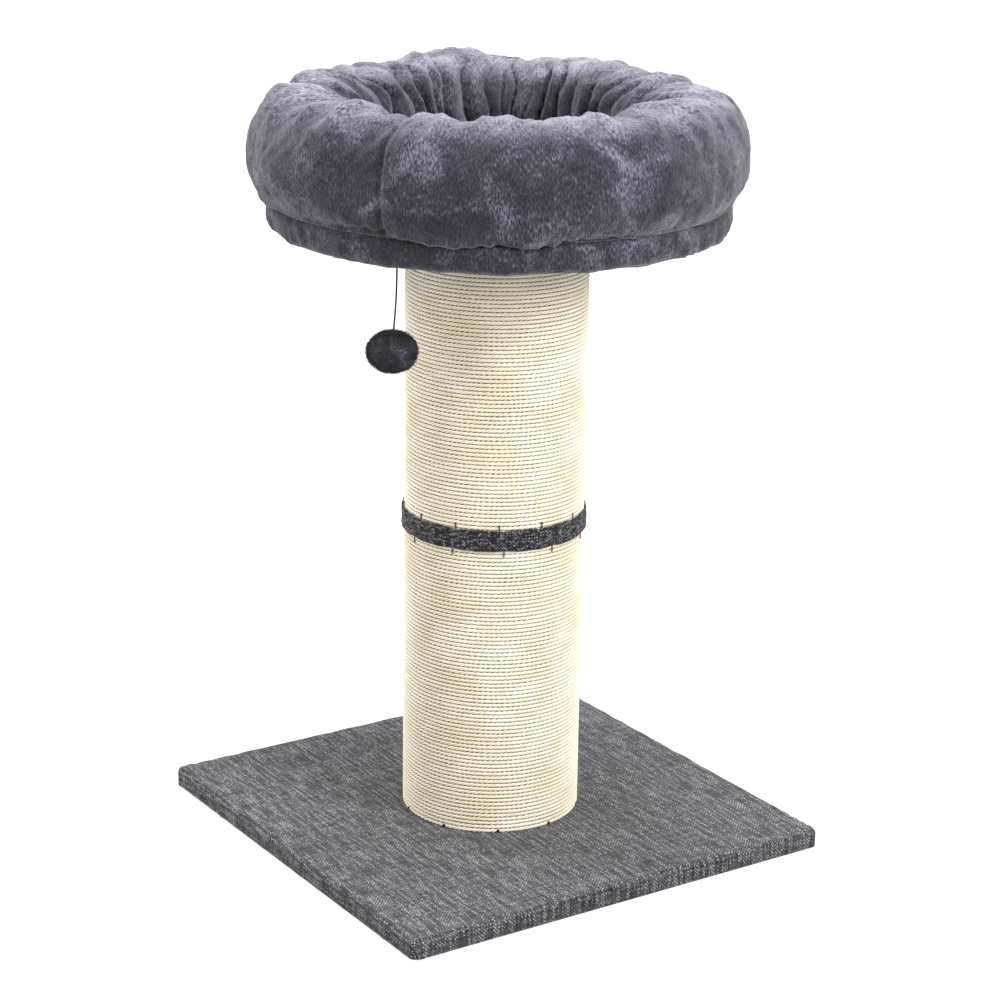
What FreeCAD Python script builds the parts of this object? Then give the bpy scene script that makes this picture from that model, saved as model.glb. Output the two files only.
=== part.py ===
import FreeCAD, Part
import math
import os
from FreeCAD import Vector

# A cat scratching post: a square cloth-covered foot board, a rope-wound post and a round plush bed
# with a stuffed, gathered rim. A small plush ball hangs from the bed on an elastic cord.
# Millimetres. The origin is the centre of the foot board's underside and +Z is up, along the post.
# The foot board's edges lie along X and Y.

UP = Vector(0, 0, 1)
DOWN = Vector(0, 0, -1)

# ---- Foot board ----
base_side = 400.0                # over the cloth
base_board_thickness = 15.0
base_cloth = 0.8                 # woven cloth
base_corner_radius = 8.0         # seen from above
base_top_edge_radius = 4.5
base_bottom_edge_radius = 2.0
base_hem_width = 30.0            # cloth turned under the board
hem_staples_per_side = 9
cloth_fit = 0.1                  # between a cloth and the board that it wraps

# ---- Post ----
post_height = 500.0
post_diameter = 150.0            # over the rope
tube_wall = 5.0
plug_thickness = 15.0            # a wooden disc closes each end of the tube
plug_fit = 0.15
rope_diameter = 2.95             # a little slimmer than the pitch, so that each turn stands clear
rope_pitch = 3.4
rope_fit = 0.2                   # between the rope and the tube
modelled_turns = 24              # in each of the two ropes; a plain sleeve is the rest of each
rope_end_angle = 56.0            # degrees; the turns start and stop at the back of the post
turns_from_band = 8.0
sleeve_gap = 0.3

# ---- Cloth band round the joint of the two ropes ----
band_centre_height = 256.5       # above the foot of the post
band_width = 18.0
band_thickness = 2.6
band_edge_radius = 0.9
band_fit = 0.2
band_top_staple_count = 13
band_top_staple_angle = 240.1    # degrees, the first of them
band_bottom_staple_count = 11
band_bottom_staple_angle = 243.1

# ---- Wire staples and nails ----
staple_crown = 9.0
staple_leg = 8.0
staple_wire = 0.9
staple_thickness = 0.6
staple_pocket_reach = 4.0        # how far a pocket runs out past the crown it holds
fastener_fit = 0.1
nail_count = 10                  # at each end of the post
nail_angle = 242.1               # degrees, the first of them
nail_length = 14.0
nail_shank_diameter = 1.2
nail_head_diameter = 2.6
nail_head_thickness = 0.6
nail_head_sunk = 0.35

# ---- Bolt, washer and pronged nut at each end of the post ----
bolt_diameter = 8.0
bolt_hole_diameter = 9.0
bolt_head_diameter = 16.0
bolt_head_height = 4.5
bolt_socket_width = 5.0          # across the flats
bolt_socket_depth = 3.0
bolt_past_nut = 3.0
washer_diameter = 24.0
washer_thickness = 1.6
washer_fit = 0.2
recess_diameter = 28.0
recess_depth = 7.0
nut_flange_diameter = 22.0
nut_flange_thickness = 1.6
nut_barrel_diameter = 10.0
nut_barrel_length = 9.0
nut_bore_diameter = 8.2
nut_prong_count = 4
nut_prong_circle_diameter = 18.0
nut_prong_length = 6.0
nut_prong_width = 2.0
nut_prong_thickness = 1.0
nut_fit = 0.1

# ---- Bed: plush-covered round board ----
rim_diameter = 375.0
bed_board_thickness = 15.0
plush = 4.2                      # backing and pile
rim_low_edge_radius = 8.0
rim_top_edge_radius = 4.6
least_edge_radius = 0.5          # on the wooden board inside the plush
rim_hem_overlap = 2.0            # the turned-in plush stops short of the stuffed rim's inner foot
rim_staple_count = 24
rim_staple_inset = 22.0

# ---- Bed: stuffed, gathered rim ----
bolster_height = 91.0
bolster_overhang = 12.0          # its belly stands out past the covered board
bolster_width = 93.5             # from its belly in to the nest
belly_height = 37.0
crest_setback = 44.5             # from the belly in to the crest
throat_height = 49.0             # where the nest is narrowest
seam_inset = 1.5
foot_inset = 5.0                 # the inner foot draws back from the nest
gather_count = 36
gather_depth = 7.0
gather_steps = 4                 # sections in one gather
gather_sharpness = 0.6           # under 1 gives round puffs and narrow valleys
gather_variation = 0.25
gather_unevenness_step = 2.4     # radians from one gather to the next
crest_share = 0.35               # how much of a gather's depth shows on the crest
foot_share = 0.5                 # and at the inner foot
soft_gap = 0.3                   # between soft pieces

# ---- Bed: floor pad ----
pad_thickness = 20.0             # at its crown, over the plush
pad_side_height = 7.0            # from its flat underside up to its widest
pad_edge_inset = 5.0
pad_shoulder_inset = 12.0        # from its widest in to where the crown begins
pad_shoulder_drop = 6.0          # and how far that is below the crown
pad_plush = 3.0

# ---- Hanging toy ----
toy_angle = -155.3               # degrees round the post
toy_inset = 42.5                 # from the edge of the bed in to the cord
eye_wire = 1.2                   # the staple that the cord hangs from
eye_width = 6.0
eye_leg = 9.5
eye_drop = 2.5                   # from the bed's underside to the middle of the wire
cord_diameter = 1.5
loop_radius = 1.5                # of the cord's loop, to the middle of the cord
knot_diameter = 3.4
knot_drop = 3.4                  # from the wire to the middle of the knot
knot_gap = 0.2
toy_drop = 72.0                  # from the wire to the middle of the ball
ball_diameter = 41.5
ball_height = 34.5
ball_plush = 4.0
ball_lean = 3.6                  # how far the ball's middle hangs off the plumb line
end_knot_diameter = 4.0
end_knot_flat_share = 0.4        # of its diameter, from its middle up to where the cord meets it
cord_hole_diameter = 2.1
cord_lean = Vector(-0.83, 0.56, 0)           # the way that the ball hangs off the plumb line
cord_arc_share = 0.45            # of the shorter run that one arc may take at each of its ends

# ---- Shared by the whole model ----
fillet_share = 0.45              # of the room beside an edge, the most that its rounding takes
points_per_turn = 90             # of rope, where its gap to itself is measured

# ---- Worked out from the sizes above ----
base_top = base_board_thickness + 2 * (base_cloth + cloth_fit)
post_radius = post_diameter / 2
rope_line_radius = post_radius - rope_diameter / 2
tube_radius = post_radius - rope_diameter - rope_fit
tube_bore_radius = tube_radius - tube_wall
post_top = base_top + post_height
band_centre = base_top + band_centre_height
band_low = band_centre - band_width / 2
band_high = band_centre + band_width / 2
winding_rise = modelled_turns * rope_pitch
rim_radius = rim_diameter / 2
bed_board_low = post_top + plush + cloth_fit
bed_board_high = bed_board_low + bed_board_thickness
rim_top = bed_board_high + cloth_fit + plush
bolster_low = rim_top + soft_gap
bolster_high = bolster_low + bolster_height
belly_radius = rim_radius + bolster_overhang
throat_radius = belly_radius - bolster_width
foot_radius = throat_radius + foot_inset
foot_nail_height = base_top + sleeve_gap + rope_diameter / 2
top_nail_height = post_top - sleeve_gap - rope_diameter / 2
base_seat = base_cloth + cloth_fit + recess_depth
base_grip = base_top + plug_thickness - base_seat
bed_seat = bed_board_high - recess_depth
bed_grip = bed_seat - (post_top - plug_thickness)
toy_radius = rim_radius - toy_inset
toy_direction = Vector(math.cos(math.radians(toy_angle)), math.sin(math.radians(toy_angle)), 0)
toy_eye = toy_direction * toy_radius + UP * (post_top - eye_drop)
toy_knot = toy_eye + DOWN * knot_drop
ball_centre = toy_eye + DOWN * toy_drop + cord_lean * ball_lean

# The cord hangs straight, then bends a little as it runs down into the ball.
cord_route = [
    toy_knot + DOWN * (knot_diameter / 2 + knot_gap),
    toy_knot + DOWN * 21.5 + cord_lean * 0.2,
    toy_knot + DOWN * 50.0 + cord_lean * 2.2,
    toy_knot + DOWN * 66.5 + cord_lean * 3.8,
]
end_heading = (cord_route[-1] - cord_route[-2]).normalize()
end_knot_centre = cord_route[-1] + end_heading * (end_knot_diameter * end_knot_flat_share)


# ---- Helpers ----
def cylinder(radius, low, high):
    return Part.makeCylinder(radius, high - low, Vector(0, 0, low))


def ring(outer_radius, inner_radius, low, high):
    return cylinder(outer_radius, low, high).cut(cylinder(inner_radius, low, high))


def polar(radius, height, angle):
    """A point at an angle, in radians, round the post."""
    return Vector(radius * math.cos(angle), radius * math.sin(angle), height)


def edges_at(shape, height):
    """The edges that lie level at one height."""
    level = []
    for edge in shape.Edges:
        box = edge.BoundBox
        if abs(box.ZMin - height) < 1e-3 and abs(box.ZMax - height) < 1e-3:
            level.append(edge)
    return level


def round_edges(shape, radius, height, room):
    """Rounds the level edges at one height, by no more than a share of the room there."""
    return shape.makeFillet(min(radius, fillet_share * room), edges_at(shape, height))


def placed(shape, origin, outward, along):
    """Turns a shape's +X to outward and its +Y to along, and moves its origin."""
    moved = shape.copy()
    turn = FreeCAD.Rotation(outward, along, outward.cross(along), "XYZ")
    moved.Placement = FreeCAD.Placement(origin, turn)
    return moved


def round_the_post(count, first_angle):
    """Evenly spaced angles, in radians."""
    return [math.radians(first_angle) + 2 * math.pi * k / count for k in range(count)]


def arc_edge(start, tangent, end):
    """The arc that leaves start along tangent and reaches end, under half a circle."""
    chord = end - start
    normal = chord - tangent * chord.dot(tangent)
    normal.normalize()
    centre = start + normal * (chord.dot(chord) / (2 * normal.dot(chord)))
    to_middle = (start + end) * 0.5 - centre
    to_middle.normalize()
    return Part.Arc(start, centre + to_middle * (start - centre).Length, end).toShape()


def biarc(start, start_tangent, end, end_tangent):
    """Two arcs that meet smoothly and keep the direction at both ends."""
    chord = end - start
    a = 2 * (start_tangent.dot(end_tangent) - 1)
    b = -2 * chord.dot(start_tangent + end_tangent)
    c = chord.dot(chord)
    reach = (-b - math.sqrt(b * b - 4 * a * c)) / (2 * a)
    middle = (start + start_tangent * reach + end - end_tangent * reach) * 0.5
    return [arc_edge(start, start_tangent, middle), arc_edge(end, end_tangent * -1, middle)]


def turned(edges):
    """A solid turned about the Z axis from the edges of half its section."""
    wire = Part.Wire(Part.__sortEdges__(edges))
    return Part.Face(wire).revolve(Vector(0, 0, 0), UP, 360)


def with_cavity(outer, inner):
    """The solid between two closed surfaces, one wholly inside the other."""
    shells = [outer.Shells[0], inner.Shells[0].reversed()]
    return Part.makeSolid(Part.makeCompound(shells))


def swept(path, diameter, start, direction):
    """A round cord along a path of lines and arcs."""
    profile = Part.Wire([Part.makeCircle(diameter / 2, start, direction)])
    return path.makePipeShell([profile], True, False)


def save(node, solids):
    """Writes one node, of one or more separate solids."""
    shape = solids[0] if len(solids) == 1 else Part.makeCompound(solids)
    sound = all(solid.isValid() and solid.isClosed() for solid in solids)
    print(f"{node}: {len(solids)} solid(s), {shape.Volume:.1f} mm3, {'sound' if sound else 'NOT SOUND'}")
    shape.exportStep(f"parts/{node}.step")


# ---- Staples and nails ----
def staple(grow=0.0, outward=0.0):
    """A flat-wire staple: crown along Y, legs along -X. A grown copy is the pocket that it sits in."""
    half = staple_crown / 2 + grow
    inside = half - staple_wire - 2 * grow
    top = staple_thickness + grow + outward
    corners = [(top, -half), (top, half), (-staple_leg - grow, half), (-staple_leg - grow, inside),
               (-grow, inside), (-grow, -inside), (-staple_leg - grow, -inside), (-staple_leg - grow, -half)]
    width = staple_wire + 2 * grow
    points = [Vector(x, y, -width / 2) for x, y in corners + corners[:1]]
    return Part.Face(Part.makePolygon(points)).extrude(UP * width)


def staple_pocket():
    return staple(fastener_fit, staple_pocket_reach)


def nail(grow=0.0):
    """A nail driven along -X, its head a little sunk in the rope."""
    outward = Vector(1, 0, 0)
    inward = Vector(-1, 0, 0)
    shank = Part.makeCylinder(nail_shank_diameter / 2 + grow, nail_length + grow, Vector(0, 0, 0), inward)
    head_back = inward * (nail_head_sunk + grow)
    head_depth = nail_head_thickness + 2 * grow
    head = Part.makeCylinder(nail_head_diameter / 2 + grow, head_depth, head_back, outward)
    return shank.fuse(head)


def hem_staples(shape):
    """Staples in the hem under the foot board, crowns along the board's edges."""
    line = base_side / 2 - base_hem_width / 2
    spacing = 2 * line / hem_staples_per_side
    face = base_cloth - staple_thickness - fastener_fit
    found = []
    for side in range(4):
        angle = side * math.pi / 2
        along = polar(1, 0, angle + math.pi / 2)
        for k in range(hem_staples_per_side):
            offset = (k + 0.5) * spacing - line
            origin = polar(line, 0, angle) + along * offset + UP * (face + staple_thickness)
            found.append(placed(shape, origin, DOWN, along))
    return found


def band_staples(shape, count, first_angle, edge_height):
    """Upright staples that straddle one edge of the cloth band."""
    seat = post_radius + band_fit
    return [placed(shape, polar(seat, edge_height, angle), polar(1, 0, angle), UP)
            for angle in round_the_post(count, first_angle)]


def end_nails(shape, height):
    """Nails through the rope's last turn and the tube into the wooden plug."""
    return [placed(shape, polar(post_radius, height, angle), polar(1, 0, angle), UP)
            for angle in round_the_post(nail_count, nail_angle)]


def rim_staples(shape):
    """Staples in the plush that is turned in over the bed's board."""
    radius = rim_radius - rim_staple_inset
    height = rim_top - staple_thickness - fastener_fit
    return [placed(shape, polar(radius, height, angle), UP, polar(1, 0, angle + math.pi / 2))
            for angle in round_the_post(rim_staple_count, 0)]


# ---- Bolt, washer and pronged nut: made pointing up from the washer's seat at z = 0 ----
def end_fastening(seat, direction, shape):
    """Stands a piece of the fastening on a washer seat, pointing up or down."""
    return placed(shape, Vector(0, 0, seat), Vector(1, 0, 0), Vector(0, direction.z, 0))


def bolt(grip):
    """Shank, head under the washer and a six-sided socket. grip runs from the seat to the nut's flange."""
    length = grip + nut_flange_thickness + bolt_past_nut
    head_low = -washer_thickness - bolt_head_height
    body = cylinder(bolt_diameter / 2, -washer_thickness, length)
    body = body.fuse(cylinder(bolt_head_diameter / 2, head_low, -washer_thickness))
    corner = bolt_socket_width / math.sqrt(3)
    points = [polar(corner, head_low, k * math.pi / 3) for k in range(7)]
    return body.cut(Part.Face(Part.makePolygon(points)).extrude(UP * bolt_socket_depth))


def washer():
    return ring(washer_diameter / 2, bolt_diameter / 2 + washer_fit, -washer_thickness, 0)


def pronged_nut(grip, grow=0.0):
    """The flange bears on the plug's far face, with its barrel and prongs in the wood."""
    flange = cylinder(nut_flange_diameter / 2, grip, grip + nut_flange_thickness)
    body = flange.fuse(cylinder(nut_barrel_diameter / 2 + grow, grip - nut_barrel_length - grow, grip))
    thickness = nut_prong_thickness + 2 * grow
    width = nut_prong_width + 2 * grow
    length = nut_prong_length + grow
    for k in range(nut_prong_count):
        corner = Vector((nut_prong_circle_diameter - thickness) / 2, -width / 2, grip - length)
        prong = Part.makeBox(thickness, width, length, corner)
        prong.rotate(Vector(0, 0, 0), UP, 360 * k / nut_prong_count)
        body = body.fuse(prong)
    if grow:
        return body
    return body.cut(cylinder(nut_bore_diameter / 2, grip - nut_barrel_length, grip + nut_flange_thickness))


# ---- Foot board and its cloth ----
def rounded_slab(half_side, low, high, corner, top_edge, bottom_edge):
    slab = Part.makeBox(2 * half_side, 2 * half_side, high - low, Vector(-half_side, -half_side, low))
    upright = [edge for edge in slab.Edges if edge.BoundBox.ZLength > (high - low) / 2]
    slab = slab.makeFillet(corner, upright)
    slab = round_edges(slab, top_edge, high, high - low)
    return round_edges(slab, bottom_edge, low, high - low)


def foot_board_form(inset):
    """The covered board's outer form, taken in evenly."""
    return rounded_slab(base_side / 2 - inset, inset, base_top - inset, base_corner_radius - inset,
                        base_top_edge_radius - inset, base_bottom_edge_radius - inset)


def make_base_board():
    board = foot_board_form(base_cloth + cloth_fit)
    board = board.cut(cylinder(bolt_hole_diameter / 2, 0, base_top))
    board = board.cut(cylinder(recess_diameter / 2, 0, base_seat))
    return board.cut(Part.makeCompound(hem_staples(staple_pocket())))


def make_base_cover():
    cover = foot_board_form(0).cut(foot_board_form(base_cloth))
    half = base_side / 2 - base_hem_width
    cover = cover.cut(Part.makeBox(2 * half, 2 * half, base_cloth, Vector(-half, -half, 0)))
    cover = cover.cut(cylinder(bolt_hole_diameter / 2, base_board_thickness, base_top))
    return cover.cut(Part.makeCompound(hem_staples(staple_pocket())))


# ---- Post ----
def band_staple_pockets():
    top = band_staples(staple_pocket(), band_top_staple_count, band_top_staple_angle, band_high)
    bottom = band_staples(staple_pocket(), band_bottom_staple_count, band_bottom_staple_angle, band_low)
    return top + bottom


def make_tube():
    tube = ring(tube_radius, tube_bore_radius, base_top, post_top)
    holes = end_nails(nail(fastener_fit), foot_nail_height) + end_nails(nail(fastener_fit), top_nail_height)
    return tube.cut(Part.makeCompound(holes + band_staple_pockets()))


def make_plug(low, seat, direction, grip, nail_height):
    plug = cylinder(tube_bore_radius - plug_fit, low, low + plug_thickness)
    plug = plug.cut(cylinder(bolt_hole_diameter / 2, low, low + plug_thickness))
    plug = plug.cut(end_fastening(seat, direction, pronged_nut(grip, nut_fit)))
    return plug.cut(Part.makeCompound(end_nails(nail(fastener_fit), nail_height)))


def rope_sleeve(low, high, pockets):
    """The turns that aren't modelled one by one, as a plain sleeve."""
    return ring(post_radius, tube_radius + rope_fit, low, high).cut(Part.makeCompound(pockets))


def rope_turns(first_height):
    """One unbroken rope: turns of even pitch, each half turn two arcs, and a straight end each way."""
    first_angle = math.radians(rope_end_angle)

    def point(turn):
        return polar(rope_line_radius, first_height + rope_pitch * turn, first_angle + 2 * math.pi * turn)

    def direction(turn):
        angle = first_angle + 2 * math.pi * turn
        heading = polar(rope_line_radius, rope_pitch / (2 * math.pi), angle + math.pi / 2)
        heading.normalize()
        return heading

    start = point(0) - direction(0) * rope_diameter
    end = point(modelled_turns) + direction(modelled_turns) * rope_diameter
    edges = [Part.LineSegment(start, point(0)).toShape()]
    for half_turn in range(2 * modelled_turns):
        a = half_turn / 2
        b = a + 0.5
        edges += biarc(point(a), direction(a), point(b), direction(b))
    edges.append(Part.LineSegment(point(modelled_turns), end).toShape())
    path = Part.Wire(edges)
    print(f"  rope gap to itself: {least_gap(path):.3f} mm, length {path.Length:.0f} mm")
    return swept(path, rope_diameter, start, direction(0))


def least_gap(path):
    """The least clear space between turns, from points of the rope's middle line to its next turns."""
    points = path.discretize(points_per_turn * modelled_turns)
    skip = points_per_turn // 2
    nearest = min(distance_to_run(points[i], points[j], points[j + 1])
                  for i in range(len(points))
                  for j in range(i + skip, min(i + 3 * skip, len(points) - 1)))
    return nearest - rope_diameter


def distance_to_run(point, start, end):
    run = end - start
    share = (point - start).dot(run) / run.dot(run)
    return (point - start - run * min(max(share, 0), 1)).Length


def make_band():
    band = cylinder(post_radius + band_fit + band_thickness, band_low, band_high)
    band = round_edges(band, band_edge_radius, band_high, band_thickness)
    band = round_edges(band, band_edge_radius, band_low, band_thickness)
    band = band.cut(cylinder(post_radius + band_fit, band_low, band_high))
    return band.cut(Part.makeCompound(band_staple_pockets()))


# ---- Bed ----
def rounded_disc(radius, low, high, low_edge, top_edge):
    disc = cylinder(radius, low, high)
    disc = round_edges(disc, max(low_edge, least_edge_radius), low, high - low)
    return round_edges(disc, max(top_edge, least_edge_radius), high, high - low)


def bed_board_form(grow):
    """The bed's board, or the space for it inside the plush."""
    inset = plush + cloth_fit - grow
    return rounded_disc(rim_radius - inset, post_top + inset, rim_top - inset,
                        rim_low_edge_radius - inset, rim_top_edge_radius - inset)


def make_bed_board():
    board = bed_board_form(0)
    board = board.cut(cylinder(bolt_hole_diameter / 2, post_top, rim_top))
    board = board.cut(cylinder(recess_diameter / 2, bed_seat, rim_top))
    board = board.cut(Part.makeCompound(rim_staples(staple_pocket())))
    return board.cut(toy_eye_staple(fastener_fit))


def make_rim_cover():
    cover = rounded_disc(rim_radius, post_top, rim_top, rim_low_edge_radius, rim_top_edge_radius)
    cover = cover.cut(bed_board_form(cloth_fit))
    cover = cover.cut(cylinder(foot_radius + rim_hem_overlap, bed_board_high, rim_top))
    cover = cover.cut(cylinder(bolt_hole_diameter / 2, post_top, bed_board_low))
    cover = cover.cut(Part.makeCompound(rim_staples(staple_pocket())))
    return cover.cut(toy_eye_staple(fastener_fit))


def gather_fold(step):
    """How far the plush is drawn in at one section: nothing on a puff, most in a valley."""
    gather, place = divmod(step, gather_steps)
    uneven = 1 + gather_variation * (math.sin(gather_unevenness_step * gather) - 1)
    swell = abs(math.sin(math.pi * place / gather_steps)) ** gather_sharpness
    return gather_depth * uneven * (1 - swell)


def bolster_section(step, inset):
    """The stuffed rim's section at one angle: six arcs and the flat that it rests on."""
    angle = 2 * math.pi * step / (gather_count * gather_steps)
    fold = gather_fold(step)
    outward = polar(1, 0, angle)
    inward = outward * -1
    seam = polar(rim_radius - seam_inset - inset, bolster_low + inset, angle)
    belly = polar(belly_radius - inset, bolster_low + belly_height, angle)
    crest = polar(belly_radius - crest_setback, bolster_high - inset - crest_share * fold, angle)
    throat = polar(throat_radius + inset + fold, bolster_low + throat_height, angle)
    foot = polar(foot_radius + inset + foot_share * fold, bolster_low + inset, angle)
    edges = [arc_edge(belly, DOWN, seam)]
    edges += biarc(belly, UP, crest, inward)
    edges += biarc(crest, inward, throat, DOWN)
    edges.append(arc_edge(throat, DOWN, foot))
    edges.append(Part.LineSegment(foot, seam).toShape())
    return Part.Wire(Part.__sortEdges__(edges))


def gathered_ring(inset):
    """The whole stuffed rim, taken in evenly, lofted from section to section in two halves."""
    steps = gather_count * gather_steps
    sections = [bolster_section(step, inset) for step in range(steps)]
    sections.append(sections[0])
    half = steps // 2
    first = Part.makeLoft(sections[:half + 1], False, True)
    second = Part.makeLoft(sections[half:], False, True)
    return Part.Solid(Part.makeShell(first.Faces + second.Faces))


def floor_pad_form(inset):
    """A low round cushion: flat below, drawn in at its lower edge and crowned."""
    radius = throat_radius - soft_gap - inset
    low = bed_board_high + soft_gap + inset
    high = bed_board_high + soft_gap + pad_thickness - inset
    outward = Vector(1, 0, 0)
    centre = Vector(0, 0, low)
    crown = Vector(0, 0, high)
    lower_edge = Vector(radius - pad_edge_inset, 0, low)
    widest = Vector(radius, 0, low + pad_side_height - inset)
    shoulder = Vector(radius - pad_shoulder_inset, 0, high - pad_shoulder_drop)
    crown_radius = (shoulder.x ** 2 + pad_shoulder_drop ** 2) / (2 * pad_shoulder_drop)
    over_the_shoulder = Vector(pad_shoulder_drop - crown_radius, 0, shoulder.x)
    over_the_shoulder.normalize()
    edges = [Part.LineSegment(centre, lower_edge).toShape()]
    edges += biarc(lower_edge, outward, widest, UP)
    edges += biarc(widest, UP, shoulder, over_the_shoulder)
    edges.append(arc_edge(crown, outward, shoulder))
    edges.append(Part.LineSegment(crown, centre).toShape())
    return turned(edges)


# ---- Hanging toy ----
def toy_eye_staple(grow=0.0):
    """A round-wire staple in the bed's underside. Its crown lies across the toy's inward swing."""
    across = UP.cross(toy_direction)
    half = eye_width / 2
    radius = eye_wire / 2 + grow
    corner = eye_wire / 2
    left = toy_eye - across * half
    right = toy_eye + across * half
    leg = eye_leg + grow
    top = UP * leg
    if grow:
        legs = [Part.makeCylinder(radius, leg, foot, UP) for foot in (left, right)]
        return legs[0].fuse(legs[1])
    edges = [
        Part.LineSegment(left + top, left + UP * corner).toShape(),
        arc_edge(left + UP * corner, DOWN, left + across * corner),
        Part.LineSegment(left + across * corner, right - across * corner).toShape(),
        arc_edge(right - across * corner, across, right + UP * corner),
        Part.LineSegment(right + UP * corner, right + top).toShape(),
    ]
    return swept(Part.Wire(edges), eye_wire, left + top, DOWN)


def make_hanging_loop():
    """The cord's loop round the staple, closed by a knot below it."""
    across = UP.cross(toy_direction)
    loop = Part.makeTorus(loop_radius, cord_diameter / 2, toy_eye, across)
    return loop.fuse(Part.makeSphere(knot_diameter / 2, toy_knot))


def make_cord():
    """Straight runs joined by arcs as large as the shorter run at each point allows."""
    runs = [end - start for start, end in zip(cord_route, cord_route[1:])]
    directions = [Vector(run).normalize() for run in runs]
    edges = []
    at = cord_route[0]
    for k in range(1, len(cord_route) - 1):
        reach = cord_arc_share * min(runs[k - 1].Length, runs[k].Length)
        arc_start = cord_route[k] - directions[k - 1] * reach
        arc_end = cord_route[k] + directions[k] * reach
        edges.append(Part.LineSegment(at, arc_start).toShape())
        edges.append(arc_edge(arc_start, directions[k - 1], arc_end))
        turn = directions[k - 1].getAngle(directions[k])
        print(f"  cord bend {k}: radius {reach / math.tan(turn / 2):.0f} mm")
        at = arc_end
    edges.append(Part.LineSegment(at, cord_route[-1]).toShape())
    path = Part.Wire(edges)
    cord = swept(path, cord_diameter, cord_route[0], directions[0])
    expected = math.pi * cord_diameter ** 2 / 4 * path.Length
    print(f"  cord length {path.Length:.1f} mm, volume {cord.Volume:.2f} of {expected:.2f} mm3")
    return cord


def ball_form(inset):
    """A slightly flattened ball."""
    width = ball_diameter / 2 - inset
    height = ball_height / 2 - inset
    side = Vector(width, 0, 0)
    outward = Vector(1, 0, 0)
    edges = biarc(Vector(0, 0, -height), outward, side, UP)
    edges += biarc(side, UP, Vector(0, 0, height), outward * -1)
    edges.append(Part.LineSegment(Vector(0, 0, height), Vector(0, 0, -height)).toShape())
    ball = turned(edges)
    ball.translate(ball_centre)
    return ball


def cord_hole():
    """The way down into the ball for the cord, and the space for the knot at its end."""
    end = cord_route[-1]
    bore = Part.makeCylinder(cord_hole_diameter / 2, ball_height, end, cord_route[-2] - end)
    return bore.fuse(Part.makeSphere(end_knot_diameter / 2 + soft_gap, end_knot_centre))


def make_end_knot():
    """A knot with a small flat on top, where the cord's end meets it."""
    knot = Part.makeSphere(end_knot_diameter / 2, end_knot_centre)
    above = Part.makeCylinder(end_knot_diameter, end_knot_diameter, cord_route[-1], end_heading * -1)
    return knot.cut(above)


# ---- The whole post ----
def main():
    os.makedirs("parts", exist_ok=True)

    save("base_board", [make_base_board()])
    save("base_cover", [make_base_cover()])
    save("base_hem_staples", hem_staples(staple()))
    save("base_bolt", [end_fastening(base_seat, UP, bolt(base_grip))])
    save("base_washer", [end_fastening(base_seat, UP, washer())])
    save("post_bottom_nut", [end_fastening(base_seat, UP, pronged_nut(base_grip))])

    save("post_tube", [make_tube()])
    save("post_bottom_plug", [make_plug(base_top, base_seat, UP, base_grip, foot_nail_height)])
    save("post_top_plug", [make_plug(post_top - plug_thickness, bed_seat, DOWN, bed_grip, top_nail_height)])
    save("foot_nails", end_nails(nail(), foot_nail_height))
    save("top_nails", end_nails(nail(), top_nail_height))

    lower_turns_low = band_low - turns_from_band - rope_diameter / 2 - winding_rise
    upper_turns_low = band_high + turns_from_band + rope_diameter / 2
    margin = rope_diameter / 2 + sleeve_gap
    foot_pockets = end_nails(nail(fastener_fit), foot_nail_height)
    top_pockets = end_nails(nail(fastener_fit), top_nail_height)
    save("lower_rope_turns", [rope_turns(lower_turns_low)])
    save("lower_rope_sleeve", [
        rope_sleeve(base_top + sleeve_gap, lower_turns_low - margin, foot_pockets),
        rope_sleeve(lower_turns_low + winding_rise + margin, band_centre - sleeve_gap, band_staple_pockets()),
    ])
    save("upper_rope_turns", [rope_turns(upper_turns_low)])
    save("upper_rope_sleeve", [
        rope_sleeve(band_centre, upper_turns_low - margin, band_staple_pockets()),
        rope_sleeve(upper_turns_low + winding_rise + margin, post_top - sleeve_gap, top_pockets),
    ])
    save("post_band", [make_band()])
    save("band_top_staples", band_staples(staple(), band_top_staple_count, band_top_staple_angle, band_high))
    save("band_bottom_staples",
         band_staples(staple(), band_bottom_staple_count, band_bottom_staple_angle, band_low))

    save("bed_board", [make_bed_board()])
    save("rim_cover", [make_rim_cover()])
    save("rim_cover_staples", rim_staples(staple()))
    save("bed_bolt", [end_fastening(bed_seat, DOWN, bolt(bed_grip))])
    save("bed_washer", [end_fastening(bed_seat, DOWN, washer())])
    save("post_top_nut", [end_fastening(bed_seat, DOWN, pronged_nut(bed_grip))])
    save("bolster_cover", [with_cavity(gathered_ring(0), gathered_ring(plush))])
    save("bolster_filling", [gathered_ring(plush + soft_gap)])
    save("floor_pad_cover", [with_cavity(floor_pad_form(0), floor_pad_form(pad_plush))])
    save("floor_pad_foam", [floor_pad_form(pad_plush + soft_gap)])

    save("toy_staple", [toy_eye_staple()])
    save("toy_hanging_loop", [make_hanging_loop()])
    save("toy_cord", [make_cord()])
    save("toy_end_knot", [make_end_knot()])
    save("pompom_cover", [ball_form(0).cut(ball_form(ball_plush)).cut(cord_hole())])
    save("pompom_filling", [ball_form(ball_plush + soft_gap).cut(cord_hole())])


main()
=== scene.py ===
# %% [markdown]
# # A cat scratching post, dressed for its picture
#
# The construction comes in as a fixed frame: boards, tube, fasteners and the joints of the hanging toy.
# This script adds what the eye meets: the wound sisal rope, the woven cloth, and the stuffed plush bed.
# Each step says first what the real piece is, how it could be made in Blender, and why it is made this way.

# %% Load the frame
import math

import bmesh
import bpy
import numpy as np
from mathutils import Matrix, Vector


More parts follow.
